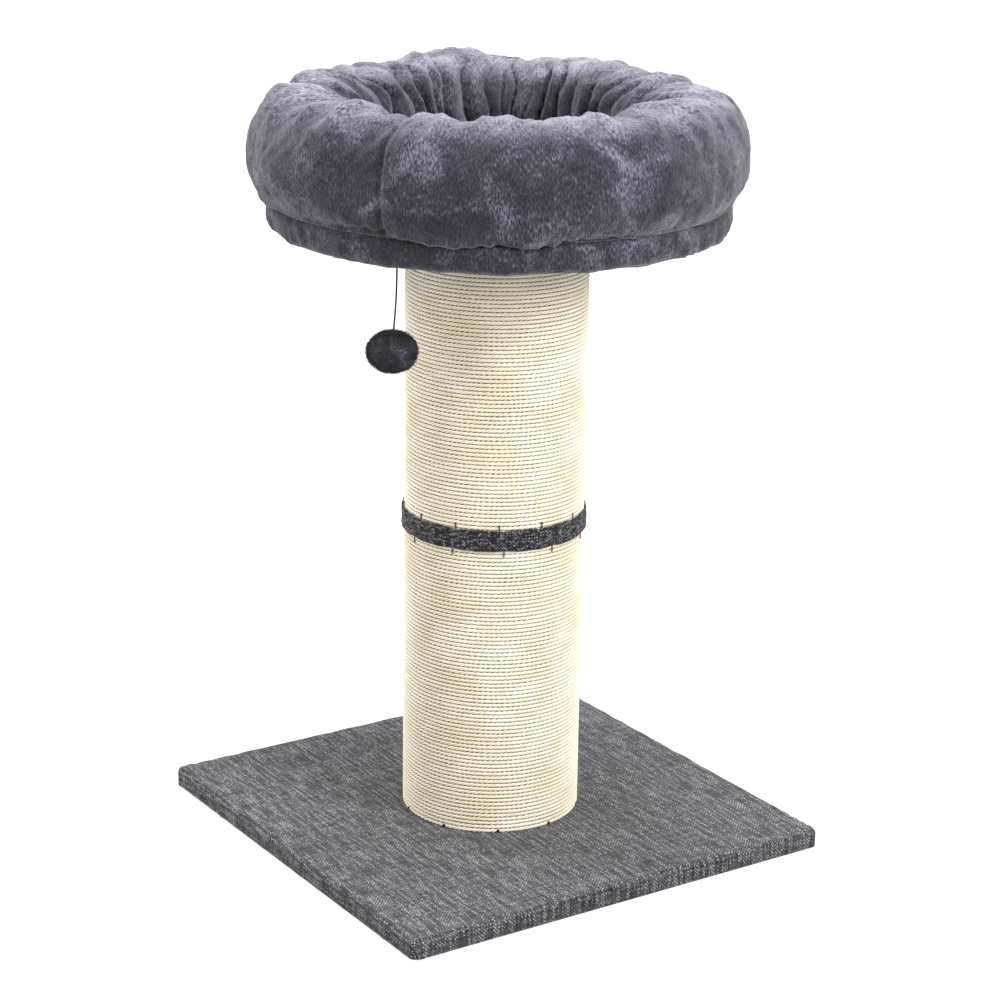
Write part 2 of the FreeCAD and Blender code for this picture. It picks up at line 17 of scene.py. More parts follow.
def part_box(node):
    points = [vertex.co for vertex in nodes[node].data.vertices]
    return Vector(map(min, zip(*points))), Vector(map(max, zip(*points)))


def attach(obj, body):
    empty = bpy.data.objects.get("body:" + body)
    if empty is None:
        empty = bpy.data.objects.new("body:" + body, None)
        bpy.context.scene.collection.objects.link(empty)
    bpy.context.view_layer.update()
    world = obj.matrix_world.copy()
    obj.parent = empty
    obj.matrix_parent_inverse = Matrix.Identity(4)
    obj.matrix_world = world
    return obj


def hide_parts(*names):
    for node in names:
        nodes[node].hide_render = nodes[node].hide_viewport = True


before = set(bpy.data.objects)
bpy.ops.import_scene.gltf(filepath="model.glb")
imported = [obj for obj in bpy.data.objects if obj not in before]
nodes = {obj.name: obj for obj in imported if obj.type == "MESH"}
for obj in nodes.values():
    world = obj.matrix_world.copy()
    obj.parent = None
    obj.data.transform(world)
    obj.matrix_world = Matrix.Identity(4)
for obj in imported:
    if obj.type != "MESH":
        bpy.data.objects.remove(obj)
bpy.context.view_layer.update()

MM = 0.001

# %% [markdown]
# ## Sizes that everything shares
#
# A size that the frame knows is measured on the frame, so that the looks follow it.
# The rest are real sizes of the product, named once here.

# %% Shared sizes
post_axis_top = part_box("post_tube")[1].z
foot_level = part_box("post_tube")[0].z
post_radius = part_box("lower_rope_sleeve")[1].x
rim_low, rim_high = (corner.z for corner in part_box("rim_cover"))
rim_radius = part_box("rim_cover")[1].x
bolster_low, bolster_high = (corner.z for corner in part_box("bolster_cover"))
belly_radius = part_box("bolster_cover")[1].x
pad_low, pad_high = (corner.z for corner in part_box("floor_pad_cover"))
band_low, band_high = (corner.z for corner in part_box("post_band"))
band_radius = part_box("post_band")[1].x
print("post radius", round(post_radius, 4), "bed radius", round(belly_radius, 4))

# %% [markdown]
# ## The camera
#
# The photograph looks down a little on one corner of the foot board, from about two metres away with a
# short telephoto lens, and it leans by less than a degree. The camera is set by those plain facts, because
# every crop of the picture is compared with the photograph later.

# %% Camera
camera_azimuth = math.radians(-33.59)
camera_elevation = math.radians(17.53)
camera_lean = math.radians(0.86)
camera_distance = 2.244
camera_aim = Vector((0, 0, 0.3))
aim_right = 0.005
aim_down = 0.0146
lens_mm = 97.4
sensor_mm = 36

towards_camera = Vector((math.sin(camera_azimuth) * math.cos(camera_elevation),
                         -math.cos(camera_azimuth) * math.cos(camera_elevation),
                         math.sin(camera_elevation)))
camera = bpy.data.objects.new("camera", bpy.data.cameras.new("camera"))
bpy.context.scene.collection.objects.link(camera)
bpy.context.scene.camera = camera
level = (-towards_camera).to_track_quat("-Z", "Y").to_matrix()
camera.location = (camera_aim + towards_camera * camera_distance
                   + level.col[0] * aim_right - level.col[1] * aim_down)
camera.rotation_mode = "QUATERNION"
camera.rotation_quaternion = (level @ Matrix.Rotation(camera_lean, 3, "Z")).to_quaternion()
camera.data.lens = lens_mm
camera.data.sensor_width = sensor_mm

front_angle = math.atan2(towards_camera.y, towards_camera.x)
back_angle = front_angle + math.pi
print("the photograph looks from", round(math.degrees(front_angle), 1), "degrees round the post")

# %% [markdown]
# ## Small tools
#
# A colour is written as a web colour, the way that a colour picker shows it. Blender's shaders work in
# linear light, so one function turns the one into the other. One more function adds a node to a tree, for
# materials and geometry alike: a value that is a socket is linked, and any other value is set.

# %% Colour and nodes
def linear(hex_colour):
    """An sRGB web colour as linear RGBA."""
    shares = [int(hex_colour[k:k + 2], 16) / 255 for k in (1, 3, 5)]
    return (*[s / 12.92 if s <= 0.04045 else ((s + 0.055) / 1.055) ** 2.4 for s in shares], 1.0)


def add_node(tree, kind, values=None, **settings):
    """Adds a node with its settings; values goes by input name or number."""
    node = tree.nodes.new(kind)
    for name, setting in settings.items():
        setattr(node, name, setting)
    for key, value in (values or {}).items():
        if isinstance(value, bpy.types.NodeSocket):
            tree.links.new(value, node.inputs[key])
        else:
            node.inputs[key].default_value = value
    return node


def new_material(name):
    """An empty material: its tree and the output's surface socket."""
    material = bpy.data.materials.new(name)
    material.use_nodes = True
    tree = material.node_tree
    tree.nodes.clear()
    output = add_node(tree, "ShaderNodeOutputMaterial")
    return material, tree, output.inputs["Surface"]


def new_geometry_tree(name, inputs):
    """An empty Geometry Nodes tree with named inputs: the tree, its given values and its result's socket."""
    tree = bpy.data.node_groups.new(name, "GeometryNodeTree")
    for label, kind in inputs.items():
        tree.interface.new_socket(label, in_out="INPUT", socket_type="NodeSocket" + kind)
    tree.interface.new_socket("Geometry", in_out="OUTPUT", socket_type="NodeSocketGeometry")
    return tree, tree.nodes.new("NodeGroupInput").outputs, tree.nodes.new("NodeGroupOutput").inputs[0]


# %% [markdown]
# Pieces that go round the post share one kind of mesh: a grid whose first direction goes round and whose
# second goes along the piece's section. Both directions close, so the mesh has no open edge.
# Its UV map is in metres on the cloth, which keeps a weave or a pile at its real size.

# %% Ring-shaped meshes
def section_line(corners, count):
    """Even points along a closed section that is given by (radius, height) points, and its length."""
    points = np.array(corners, float)
    closed = np.vstack([points, points[:1]])
    gone = np.r_[0, np.cumsum(np.linalg.norm(np.diff(closed, axis=0), axis=1))]
    at = np.linspace(0, gone[-1], count, endpoint=False)
    return np.interp(at, gone, closed[:, 0]), np.interp(at, gone, closed[:, 1]), at, gone[-1]


def quarter(centre, wide, high, start, steps=24):
    """A quarter of an ellipse, from an angle in quarter turns."""
    angles = (start + np.arange(steps) / steps) * math.pi / 2
    return [(centre[0] + wide * math.cos(a), centre[1] + high * math.sin(a)) for a in angles]


def ring_mesh(name, points, cloth_size):
    """A mesh from points[around][along section], closed both ways, with its UV map in metres."""
    around, along = points.shape[:2]
    i, j = np.meshgrid(np.arange(around), np.arange(along), indexing="ij")
    steps = [(0, 0), (1, 0), (1, 1), (0, 1)]
    faces = np.stack([(i + a) % around * along + (j + b) % along for a, b in steps], -1).reshape(-1, 4)
    mesh = bpy.data.meshes.new(name)
    mesh.from_pydata(points.reshape(-1, 3).tolist(), [], faces.tolist())
    across = np.stack([(i + a) / around * cloth_size[0] for a, b in steps], -1).reshape(-1)
    down = np.stack([(j + b) / along * cloth_size[1] for a, b in steps], -1).reshape(-1)
    uv = mesh.uv_layers.new(name="UVMap")
    uv.data.foreach_set("uv", np.stack([across, down], -1).astype(np.float32).ravel())
    mesh.polygons.foreach_set("use_smooth", np.ones(len(faces), bool))
    mesh.update()
    return mesh


def progress(value, low, high):
    """How far a value has come from low to high, held from 0 to 1."""
    return np.clip((value - low) / (high - low), 0, 1)


def eased(share):
    """A share from 0 to 1 with a soft start and end."""
    return share * share * (3 - 2 * share)


def angles_round(count, start=0.0):
    """Even angles round the post, as a column."""
    return (start + np.arange(count) / count * 2 * math.pi)[:, None]


def round_the_axis(radius, height, angle):
    """Points [around][along] from radii, heights and angles that broadcast together."""
    radius, height, angle = np.broadcast_arrays(radius, height, angle)
    return np.stack([radius * np.cos(angle), radius * np.sin(angle), height], -1)


def show(mesh, material, body):
    """Puts a finished mesh in the scene, riding on a body."""
    piece = bpy.data.objects.new(mesh.name, mesh)
    bpy.context.scene.collection.objects.link(piece)
    mesh.materials.clear()
    mesh.materials.append(material)
    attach(piece, body)
    print(f"{piece.name}: {len(mesh.polygons)} faces")
    return piece


def cloth_waves(angle, along, per_turn, length, seed, count=20):
    """A smooth random pattern that closes round the ring: about one in size, and the same each run."""
    rng = np.random.default_rng(seed)
    total = 0.0
    for _ in range(count):
        turns = rng.integers(max(1, per_turn // 2), per_turn * 3 // 2 + 1)
        total = total + np.sin(turns * angle + 2 * math.pi * rng.normal(0, 1 / length) * along
                               + rng.uniform(0, 2 * math.pi))
    return total / math.sqrt(count / 2)


# %% [markdown]
# A material reads best as a list of steps: a noise, a value brought from one range to another, a colour
# between two others. Each of these functions adds one such step and gives its result.

# %% Steps of a material
def noise(tree, vector, scale=1.0, detail=3.0, **shape):
    """Soft random values round one half."""
    values = {"Vector": vector, "Scale": scale, "Detail": detail}
    values.update({name.capitalize(): value for name, value in shape.items()})
    return add_node(tree, "ShaderNodeTexNoise", values).outputs[0]


def stretched(tree, vector, scale, turn=0.0):
    """A vector with its own scale each way, so that a noise on it runs long in one direction."""
    return add_node(tree, "ShaderNodeMapping", {
        "Vector": vector, "Scale": scale, "Rotation": (0, 0, turn)}).outputs[0]


def spread(tree, value, low, high, to=(0.0, 1.0), kind="LINEAR"):
    """A value brought from one range to another, and held inside it."""
    return add_node(tree, "ShaderNodeMapRange", {0: value, 1: low, 2: high, 3: to[0], 4: to[1]},
                    interpolation_type=kind).outputs[0]


def worked_out(tree, operation, *values):
    """One step of arithmetic on sockets and numbers."""
    return add_node(tree, "ShaderNodeMath", dict(enumerate(values)), operation=operation).outputs[0]


def between(tree, share, first, second):
    """A number from the first to the second, by a share from 0 to 1."""
    return add_node(tree, "ShaderNodeMix", {0: share, 2: first, 3: second}).outputs[0]


def tinted(tree, share, first, second):
    """A colour from the first to the second, by a share from 0 to 1."""
    return add_node(tree, "ShaderNodeMix", {0: share, 6: first, 7: second}, data_type="RGBA").outputs[2]


def parts_of(tree, vector):
    """The X, Y and Z of a vector, as sockets by name."""
    return add_node(tree, "ShaderNodeSeparateXYZ", {0: vector}).outputs


def close_material(tree, surface, colour, height, relief_mm, strength, look):
    """Ends a material: a Principled shader with its colour, its relief, and the look that never varies."""
    relief = add_node(tree, "ShaderNodeBump", {
        "Height": height, "Distance": relief_mm * MM, "Strength": strength})
    shader = add_node(tree, "ShaderNodeBsdfPrincipled", {
        "Base Color": colour, "Normal": relief.outputs[0], **look})
    tree.links.new(shader.outputs[0], surface)


# %% [markdown]
# ## Brushed plush
#
# The bed is covered in a short polyester plush. What the eye sees is a dark grey that turns pale where the
# pile is seen from its side, soft clouds where a hand has brushed the pile up or down, and fine strokes
# where it clumps. The clouds come from noise on Object coordinates, so that they don't break at a seam. The
# strokes follow the UV map, stretched the way that the pile lies. Sheen gives the pale edge.
# The top of the crest is also made paler in its colour: a painted highlight that stands for the light from
# above on the pile.

# %% Brushed plush
def brushed_plush(name, colours, cloud_mm=34, clump_mm=(1.3, 3.6), relief_mm=1.9, painted_highlight=None):
    """Short-pile polyester plush: soft, matt, with a pale sheen at its edges."""
    material, tree, surface = new_material(name)
    dark, middle, light = (linear(colour) for colour in colours)
    place = add_node(tree, "ShaderNodeTexCoord").outputs
    clouds = noise(tree, place["Object"], 1000 / cloud_mm, roughness=0.6, distortion=0.6)
    lie = stretched(tree, place["UV"], (1000 / clump_mm[0], 1000 / clump_mm[1], 1.0))
    strokes = noise(tree, lie, roughness=0.62, distortion=0.5)
    hairs = noise(tree, place["Object"], 1150.0, 2.0, roughness=0.7)
    mottle = between(tree, 0.6, clouds, strokes)
    base = tinted(tree, spread(tree, mottle, 0.39, 0.63, kind="SMOOTHSTEP"), dark, middle)
    tips = spread(tree, worked_out(tree, "MULTIPLY", clouds, strokes), 0.28, 0.44, (0.0, 0.8))
    colour = tinted(tree, tips, base, light)
    # Painted highlight: the top of the crest is made paler, by its height and by the pile's mottle.
    if painted_highlight:
        low, high, pale = painted_highlight
        crest = spread(tree, parts_of(tree, place["Object"])["Z"], low, high, kind="SMOOTHSTEP")
        highlight_share = spread(tree, mottle, 0.38, 0.62, (0.0, 0.75))
        colour = tinted(tree, worked_out(tree, "MULTIPLY", crest, highlight_share), colour, linear(pale))
    close_material(tree, surface, colour, between(tree, 0.3, strokes, hairs), relief_mm, 0.9, {
        "Roughness": 0.9, "Specular IOR Level": 0.15, "Sheen Weight": 0.6, "Sheen Roughness": 0.35,
        "Sheen Tint": linear("#E4E2EE")})
    return material


# The heights over which the crest gets its painted highlight, a paler colour for the light from above.
crest_highlight_from = bolster_high - 20 * MM
crest_highlight_to = bolster_high + 2 * MM
bed_plush = brushed_plush("brushed_grey_polyester_plush", ("#28272E", "#4D4C56", "#8C8A99"),
                          painted_highlight=(crest_highlight_from, crest_highlight_to, "#B2B0C0"))
ball_plush = brushed_plush("brushed_charcoal_polyester_plush", ("#2E2E34", "#5A5962", "#ABAAB6"),
                           cloud_mm=12, clump_mm=(0.8, 1.6), relief_mm=0.8)
print("plush:", bed_plush.name, "and", ball_plush.name)

# %% [markdown]
# ## Woven cloth
#
# The foot board is wrapped in a plain weave of mixed greys, and the band round the post in a finer, darker
# one. In a plain weave each thread goes over one and under the next, so the product of two sine waves gives
# its bumps. Threads differ along their length, which shows as pale flecks in lines along one direction.
# The pattern reads the cloth's UV map, which is the cloth laid flat, so threads keep their size and run over
# an edge. The base cloth's threads stand 1.55 mm apart, about the finest that the picture can hold.

# %% Woven cloth
def weave(tree, across, along, thread_mm, streak_mm, colours, fleck_share):
    """The colour and height of a plain weave, from two coordinates in metres."""
    beat = math.pi * 1000 / thread_mm
    sines = [worked_out(tree, "SINE", worked_out(tree, "MULTIPLY", coordinate, beat))
             for coordinate in (across, along)]
    over = worked_out(tree, "MULTIPLY", *sines)
    spot = add_node(tree, "ShaderNodeCombineXYZ", {0: across, 1: along}).outputs[0]
    fine, slow = 1000 / thread_mm, 1000 / streak_mm
    streaks = noise(tree, stretched(tree, spot, (fine * 0.6, slow, 1.0)), detail=2.0)
    cross = noise(tree, stretched(tree, spot, (slow, fine * 0.6, 1.0)), detail=2.0)
    specks = noise(tree, stretched(tree, spot, (fine * 0.9, fine * 0.35, 1.0)), detail=1.0)
    on_top = spread(tree, over, -0.35, 0.35)
    shade = spread(tree, between(tree, on_top, cross, streaks), 0.36, 0.64, kind="SMOOTHSTEP")
    dark, middle, light = (linear(colour) for colour in colours)
    raised = worked_out(tree, "MULTIPLY", worked_out(tree, "MULTIPLY", specks, streaks), on_top)
    fleck = spread(tree, raised, 0.40 - fleck_share, 0.52 - fleck_share, (0.0, 0.9))
    colour = tinted(tree, fleck, tinted(tree, shade, dark, middle), light)
    return colour, worked_out(tree, "ABSOLUTE", over)


def woven_cloth(name, thread_mm, streak_mm, colours, relief_mm, strength, look, tape=False):
    """A polyester weave on the cloth's own UV map. A tape's long threads go round, along the map's X."""
    material, tree, surface = new_material(name)
    at = parts_of(tree, add_node(tree, "ShaderNodeTexCoord").outputs["UV"])
    across, along = (at["Y"], at["X"]) if tape else (at["X"], at["Y"])
    fleck_share = 0.17
    colour, height = weave(tree, across, along, thread_mm, streak_mm, colours, fleck_share)
    close_material(tree, surface, colour, height, relief_mm, strength, {
        "Specular IOR Level": 0.25, "Sheen Roughness": 0.5, **look})
    return material


base_weave = woven_cloth("heathered_grey_plain_weave", 1.55, 28, ("#1F1E22", "#58575C", "#B8B7BC"), 0.5, 0.8,
                         {"Roughness": 0.88, "Sheen Weight": 0.12})
band_weave = woven_cloth("charcoal_woven_tape", 1.25, 8, ("#0C0B0E", "#232226", "#BDBCC2"), 0.4, 0.9,
                         {"Roughness": 0.85, "Sheen Weight": 0.1}, tape=True)
print("weaves:", base_weave.name, "and", band_weave.name)

# %% [markdown]
# ## Sisal
#
# Sisal is a leaf fibre: ivory, and a little shiny along the fibre. It is painted browner in the grooves and
# where
# strands touch: partly dust that settles there, and partly painted shade for the hollows. How deep a point
# lies in the winding is its distance from the post's axis, so the groove colour needs nothing but the Object
# coordinates.
# The fibres follow the rope's own UV map, at the slant of the twist, and the rope's mesh tells the material
# where two strands meet.

# %% Sisal
rope_crest = post_radius - 0.35 * MM
rope_groove = post_radius - 1.35 * MM
fibre_slant = math.radians(-38)


def sisal():
    """Three-strand sisal rope: coarse ivory leaf fibre."""
    material, tree, surface = new_material("ivory_sisal_fibre")
    place = add_node(tree, "ShaderNodeTexCoord").outputs
    fibre = noise(tree, stretched(tree, place["UV"], (160.0, 1900.0, 1.0), fibre_slant))
    lot = noise(tree, stretched(tree, place["UV"], (26.0, 0.0, 1.0)))
    patches = noise(tree, place["Object"], 26.0, roughness=0.6)
    shade = spread(tree, between(tree, 0.5, fibre, lot), 0.36, 0.62)
    straw = tinted(tree, shade, linear("#EBDFC5"), linear("#FFFAEE"))
    sunned = spread(tree, patches, 0.42, 0.68, (0.0, 0.5))
    warm = tinted(tree, sunned, straw, linear("#F0E1BC"))
    at = parts_of(tree, place["Object"])
    level = add_node(tree, "ShaderNodeCombineXYZ", {0: at["X"], 1: at["Y"]})
    radius = add_node(tree, "ShaderNodeVectorMath", {0: level.outputs[0]}, operation="LENGTH")
    crest = spread(tree, radius.outputs["Value"], rope_groove, rope_crest, kind="SMOOTHSTEP")
    twist = add_node(tree, "ShaderNodeAttribute", attribute_name="twist").outputs["Fac"]
    strand = spread(tree, twist, 0.1, 0.75, (0.45, 1.0), "SMOOTHSTEP")
    # Painted shade mixed with dust: a point deep in a groove or between strands is made browner, more in some
    # patches.
    deep = worked_out(tree, "SUBTRACT", 1.0, worked_out(tree, "MULTIPLY", crest, strand))
    dust_and_shade_patches = spread(tree, patches, 0.35, 0.7, (0.45, 1.0))
    groove_dust_and_shade = worked_out(tree, "MULTIPLY", deep, dust_and_shade_patches)
    colour = tinted(tree, groove_dust_and_shade, warm, linear("#B7A37B"))
    close_material(tree, surface, colour, fibre, 0.25, 0.7, {
        "Roughness": 0.62, "Specular IOR Level": 0.4, "Sheen Weight": 0.08, "Sheen Roughness": 0.5})
    return material


sisal_fibre = sisal()

# %% [markdown]
# ## Board, cardboard, steel and cord
#
# Most of these are hidden until the post is turned over or taken apart. Each still gets the look of its
# stuff: pressed wood dust in the board, long streaks along the cardboard tube, zinc on the bolts, and the
# dark lacquer of upholstery staples and nails.

# %% Hard materials
def speckled(name, colours, speck_mm, stretch=(1, 1, 1), **look):
    """A material whose colour wanders between two tones at the size of its grain."""
    material, tree, surface = new_material(name)
    place = add_node(tree, "ShaderNodeTexCoord").outputs["Object"]
    grain = noise(tree, stretched(tree, place, [1000 / speck_mm * share for share in stretch]), detail=4.0)
    first, second = (linear(colour) for colour in colours)
    colour = tinted(tree, spread(tree, grain, 0.35, 0.65), first, second)
    close_material(tree, surface, colour, grain, 0.05 * speck_mm, 0.6, look)
    return material


fibre_board = speckled("medium_density_fibreboard", ("#A98459", "#C4A077"), 0.8, Roughness=0.8)
cardboard = speckled("wound_kraft_cardboard", ("#9A7B55", "#B8966B"), 2.5, (1, 1, 0.15), Roughness=0.85)
zinc = speckled("zinc_plated_steel", ("#A9ACB0", "#C9CBCE"), 1.5, Metallic=1.0, Roughness=0.32)
lacquered_wire = speckled("lacquered_staple_wire", ("#29282B", "#3D3C40"), 0.5, Metallic=0.8, Roughness=0.4)
elastic = speckled("braided_elastic", ("#17171A", "#2E2E33"), 0.6, (1, 1, 0.4), Roughness=0.75)

hard_finishes = (
    (fibre_board, ("base_board", "bed_board", "post_bottom_plug", "post_top_plug")),
    (cardboard, ("post_tube",)),
    (zinc, ("base_bolt", "base_washer", "post_bottom_nut", "post_top_nut", "bed_bolt", "bed_washer",
            "toy_staple")),
    (lacquered_wire, ("base_hem_staples", "rim_cover_staples", "band_top_staples", "band_bottom_staples",
                      "foot_nails", "top_nails")),
)
for material, names in hard_finishes:
    for name in names:
        nodes[name].data.materials.clear()
        nodes[name].data.materials.append(material)
print("finishes on", sum(len(names) for material, names in hard_finishes), "pieces of the frame")

# %% [markdown]
# ## The hanging cord
#
# A thin elastic hangs from a staple under the bed, runs straight down and leans a little as it enters the
# ball. It is one smooth NURBS curve through four chosen points, because a free cord has no corners.
# The loop round the staple and the knots are short curves of the same elastic.

# %% Cord, loop and knots
cord_diameter = 1.5 * MM
cord_points = [Vector(p) * MM for p in (
    (-131.73, -60.59, 509.0), (-131.90, -60.48, 489.4), (-133.56, -59.36, 460.9), (-134.89, -58.46, 444.4))]


def elastic_run(name, points, closed=False, smooth=3):
    """A round elastic along a smooth curve."""
    curve = bpy.data.curves.new(name, "CURVE")
    curve.dimensions = "3D"
    spline = curve.splines.new("NURBS")
    spline.points.add(len(points) - 1)
    for place, point in zip(spline.points, points):
        place.co = (*point, 1.0)
    spline.use_cyclic_u = closed
    spline.order_u = smooth
    spline.use_endpoint_u = not closed
    spline.resolution_u = 12
    curve.bevel_depth = cord_diameter / 2
    curve.bevel_resolution = 4
    curve.use_fill_caps = not closed
    curve.materials.append(elastic)
    run = bpy.data.objects.new(name, curve)
    bpy.context.scene.collection.objects.link(run)
    return run


def knot_points(centre, size, count=24):
    """An overhand knot's path: a trefoil of that outer size."""
    turn = [2 * math.pi * k / count for k in range(count)]
    reach = (size - cord_diameter) / 6
    return [centre + reach * Vector((math.sin(t) + 2 * math.sin(2 * t), math.cos(t) - 2 * math.cos(2 * t),
                                     -math.sin(3 * t))) for t in turn]


cord = elastic_run("toy_elastic", cord_points)
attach(cord, "toy")
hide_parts("toy_cord")

eye_low, eye_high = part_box("toy_hanging_loop")
staple_low, staple_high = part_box("toy_staple")
eye_middle = (staple_low + staple_high) / 2
loop_reach = 1.5 * MM
wire_middle = Vector((eye_middle.x, eye_middle.y, eye_high.z - loop_reach - cord_diameter / 2))
outward = Vector((eye_middle.x, eye_middle.y, 0)).normalized()
loop = elastic_run("toy_elastic_loop", [
    wire_middle + loop_reach * (math.cos(a) * outward + math.sin(a) * Vector((0, 0, 1)))
    for a in (2 * math.pi * k / 12 for k in range(12))], closed=True)
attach(loop, "toy_loop")
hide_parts("toy_hanging_loop")
knot_size = 3.4 * MM
knot = elastic_run("toy_elastic_knot", knot_points(
    Vector((eye_middle.x, eye_middle.y, eye_low.z + knot_size / 2)), knot_size), closed=True)
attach(knot, "toy_loop")

end_low, end_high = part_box("toy_end_knot")
end_knot = elastic_run("toy_elastic_end_knot", knot_points((end_low + end_high) / 2, end_high.x - end_low.x),
                       closed=True)
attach(end_knot, "toy")
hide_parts("toy_end_knot")
print("cord from", [round(c, 4) for c in cord_points[0]], "to", [round(c, 4) for c in cord_points[-1]])

# %% [markdown]
# ## The wound rope
#
# About 68 metres of three-strand rope go round the post in 147 turns. A curve with a bevel could draw the
# turns, but not the twist of the strands. Here Geometry Nodes roll up a flat grid: one direction of the
# grid runs along the rope and the other goes round its section, and each point's place is worked out from
# its place in the grid. Each turn lies level and climbs by one rope width in the last eighth of a turn,
# behind the post, as a rope does when it is wound tight. The strands are a wave that slants across the
# section. The side that faces the tube is never seen, so it is a flat chord.

# %% Rope: the tree
rope_pitch = 3.4 * MM
rope_radius = 1.74 * MM
rope_flatness = 0.62
strand_crest_mm = 4.2
strand_depth = 0.42
rope_climb = 0.12
rope_seen_half_angle = math.radians(86)
rope_section_points = 9
samples_per_crest = 4
strand_unevenness = 14.0
slack_waves_per_metre = 22.0
thickness_unevenness = 0.16
sewing_distance = 1e-6
foot_gap = 0.3 * MM
half_turn_height = 1.475 * MM
rope_line_radius = post_radius - rope_radius
rope_samples = round(2 * math.pi * post_radius / (strand_crest_mm * MM) * samples_per_crest)
first_turn_height = foot_level + foot_gap + half_turn_height
last_turn_height = post_axis_top - foot_gap - half_turn_height


def rope_tree():
    """Geometry Nodes that wind a stretch of rope, from a first turn and a number of turns."""
    numbers = ("First Turn", "Turns", "Samples per Turn", "First Height", "Last Height", "Pitch",
               "Line Radius", "Rope Radius", "Start Angle", "Climb", "Strand Crest", "Strand Depth")
    tree, given, result = new_geometry_tree("wound_rope", {
        **dict.fromkeys(numbers, "Float"), "Material": "Material"})

    def calc(operation, *values):
        return worked_out(tree, operation, *values)

    rings = calc("ADD", calc("MULTIPLY", given["Turns"], given["Samples per Turn"]), 3.0)
    steps = calc("SUBTRACT", rings, 1.0)
    grid = add_node(tree, "GeometryNodeMeshGrid", {
        "Size X": steps, "Size Y": 1.0, "Vertices X": rings, "Vertices Y": rope_section_points})
    at = add_node(tree, "ShaderNodeSeparateXYZ", {0: add_node(tree, "GeometryNodeInputPosition").outputs[0]})
    ring = calc("ADD", at.outputs["X"], calc("MULTIPLY", steps, 0.5))
    gone = calc("DIVIDE", calc("SUBTRACT", ring, 1.0), given["Samples per Turn"])
    inside = calc("MINIMUM", calc("MAXIMUM", gone, 0.0), given["Turns"])
    turn = calc("ADD", inside, given["First Turn"])
    share = calc("ADD", at.outputs["Y"], 0.5)
    arcs = rope_section_points - 1
    arc = calc("MULTIPLY", calc("FRACT", calc("MULTIPLY", share, arcs / (arcs + 0.001))), arcs / (arcs - 1))
    open_arc = calc("MULTIPLY", arc, calc("LESS_THAN", share, 0.999))
    section = calc("MULTIPLY", calc("SUBTRACT", open_arc, 0.5), 2 * rope_seen_half_angle)

    whole = calc("FLOOR", turn)
    climb = add_node(tree, "ShaderNodeMapRange", {
        0: calc("FRACT", turn), 1: calc("SUBTRACT", 1.0, given["Climb"]), 2: 1.0},
        interpolation_type="SMOOTHSTEP")
    risen = calc("MULTIPLY", calc("ADD", whole, climb.outputs[0]), given["Pitch"])
    height = calc("MINIMUM", calc("ADD", risen, given["First Height"]), given["Last Height"])
    angle = calc("ADD", calc("MULTIPLY", turn, 2 * math.pi), given["Start Angle"])
    along = calc("MULTIPLY", calc("MULTIPLY", turn, 2 * math.pi), given["Line Radius"])

    slack = add_node(tree, "ShaderNodeTexNoise", {
        "W": along, "Scale": slack_waves_per_metre, "Detail": 2.0}, noise_dimensions="1D")
    twisted_more = calc("MULTIPLY", slack.outputs[0], strand_unevenness)
    strand = calc("ADD", calc("SUBTRACT", calc("MULTIPLY", section, 3.0), calc(
        "DIVIDE", calc("MULTIPLY", along, 2 * math.pi), given["Strand Crest"])), twisted_more)
    twist = calc("ABSOLUTE", calc("COSINE", calc("MULTIPLY", strand, 0.5)))
    lobe = calc("SUBTRACT", twist, 1.0)
    uneven = calc("MULTIPLY", calc("SUBTRACT", slack.outputs[0], 0.5), thickness_unevenness)
    swell = calc("ADD", calc("ADD", calc("MULTIPLY", lobe, given["Strand Depth"]), uneven), 1.0)
    shut = calc("MULTIPLY", calc("GREATER_THAN", ring, 0.5),
                calc("LESS_THAN", ring, calc("SUBTRACT", steps, 0.5)))
    thick = calc("MULTIPLY", calc("MULTIPLY", given["Rope Radius"], swell), shut)
    bulge = calc("POWER", calc("MAXIMUM", calc("COSINE", section), 0.0), rope_flatness)
    reach = calc("ADD", calc("MULTIPLY", thick, bulge), given["Line Radius"])
    level_out = calc("ADD", calc("MULTIPLY", thick, calc("SINE", section)), height)
    place = add_node(tree, "ShaderNodeCombineXYZ", {
        0: calc("MULTIPLY", reach, calc("COSINE", angle)), 1: calc("MULTIPLY", reach, calc("SINE", angle)),
        2: level_out})

    laid_flat = add_node(tree, "ShaderNodeCombineXYZ", {
        0: along, 1: calc("MULTIPLY", section, given["Rope Radius"])})
    mapped = add_node(tree, "GeometryNodeStoreNamedAttribute", {
        "Geometry": grid.outputs["Mesh"], "Name": "UVMap", "Value": laid_flat.outputs[0]},
        data_type="FLOAT2", domain="CORNER")
    twisted = add_node(tree, "GeometryNodeStoreNamedAttribute", {
        "Geometry": mapped.outputs[0], "Name": "twist", "Value": twist}, data_type="FLOAT", domain="POINT")
    rolled = add_node(tree, "GeometryNodeSetPosition", {
        "Geometry": twisted.outputs[0], "Position": place.outputs[0]})
    sewn = add_node(tree, "GeometryNodeMergeByDistance", {
        "Geometry": rolled.outputs[0], "Distance": sewing_distance})
    smooth = add_node(tree, "GeometryNodeSetShadeSmooth", {"Geometry": sewn.outputs[0]})
    real = add_node(tree, "GeometryNodeRealizeInstances", {"Geometry": smooth.outputs[0]})
    done = add_node(tree, "GeometryNodeSetMaterial", {
        "Geometry": real.outputs[0], "Material": given["Material"]})
    tree.links.new(done.outputs[0], result)
    return tree


# %% [markdown]
# A modifier's input goes by the identifier of its socket, and the finished geometry is taken off as a plain
# mesh. The two ropes meet under the cloth band. Each is made in three stretches, so that no mesh grows too
# heavy, and the stretches butt together behind the post.

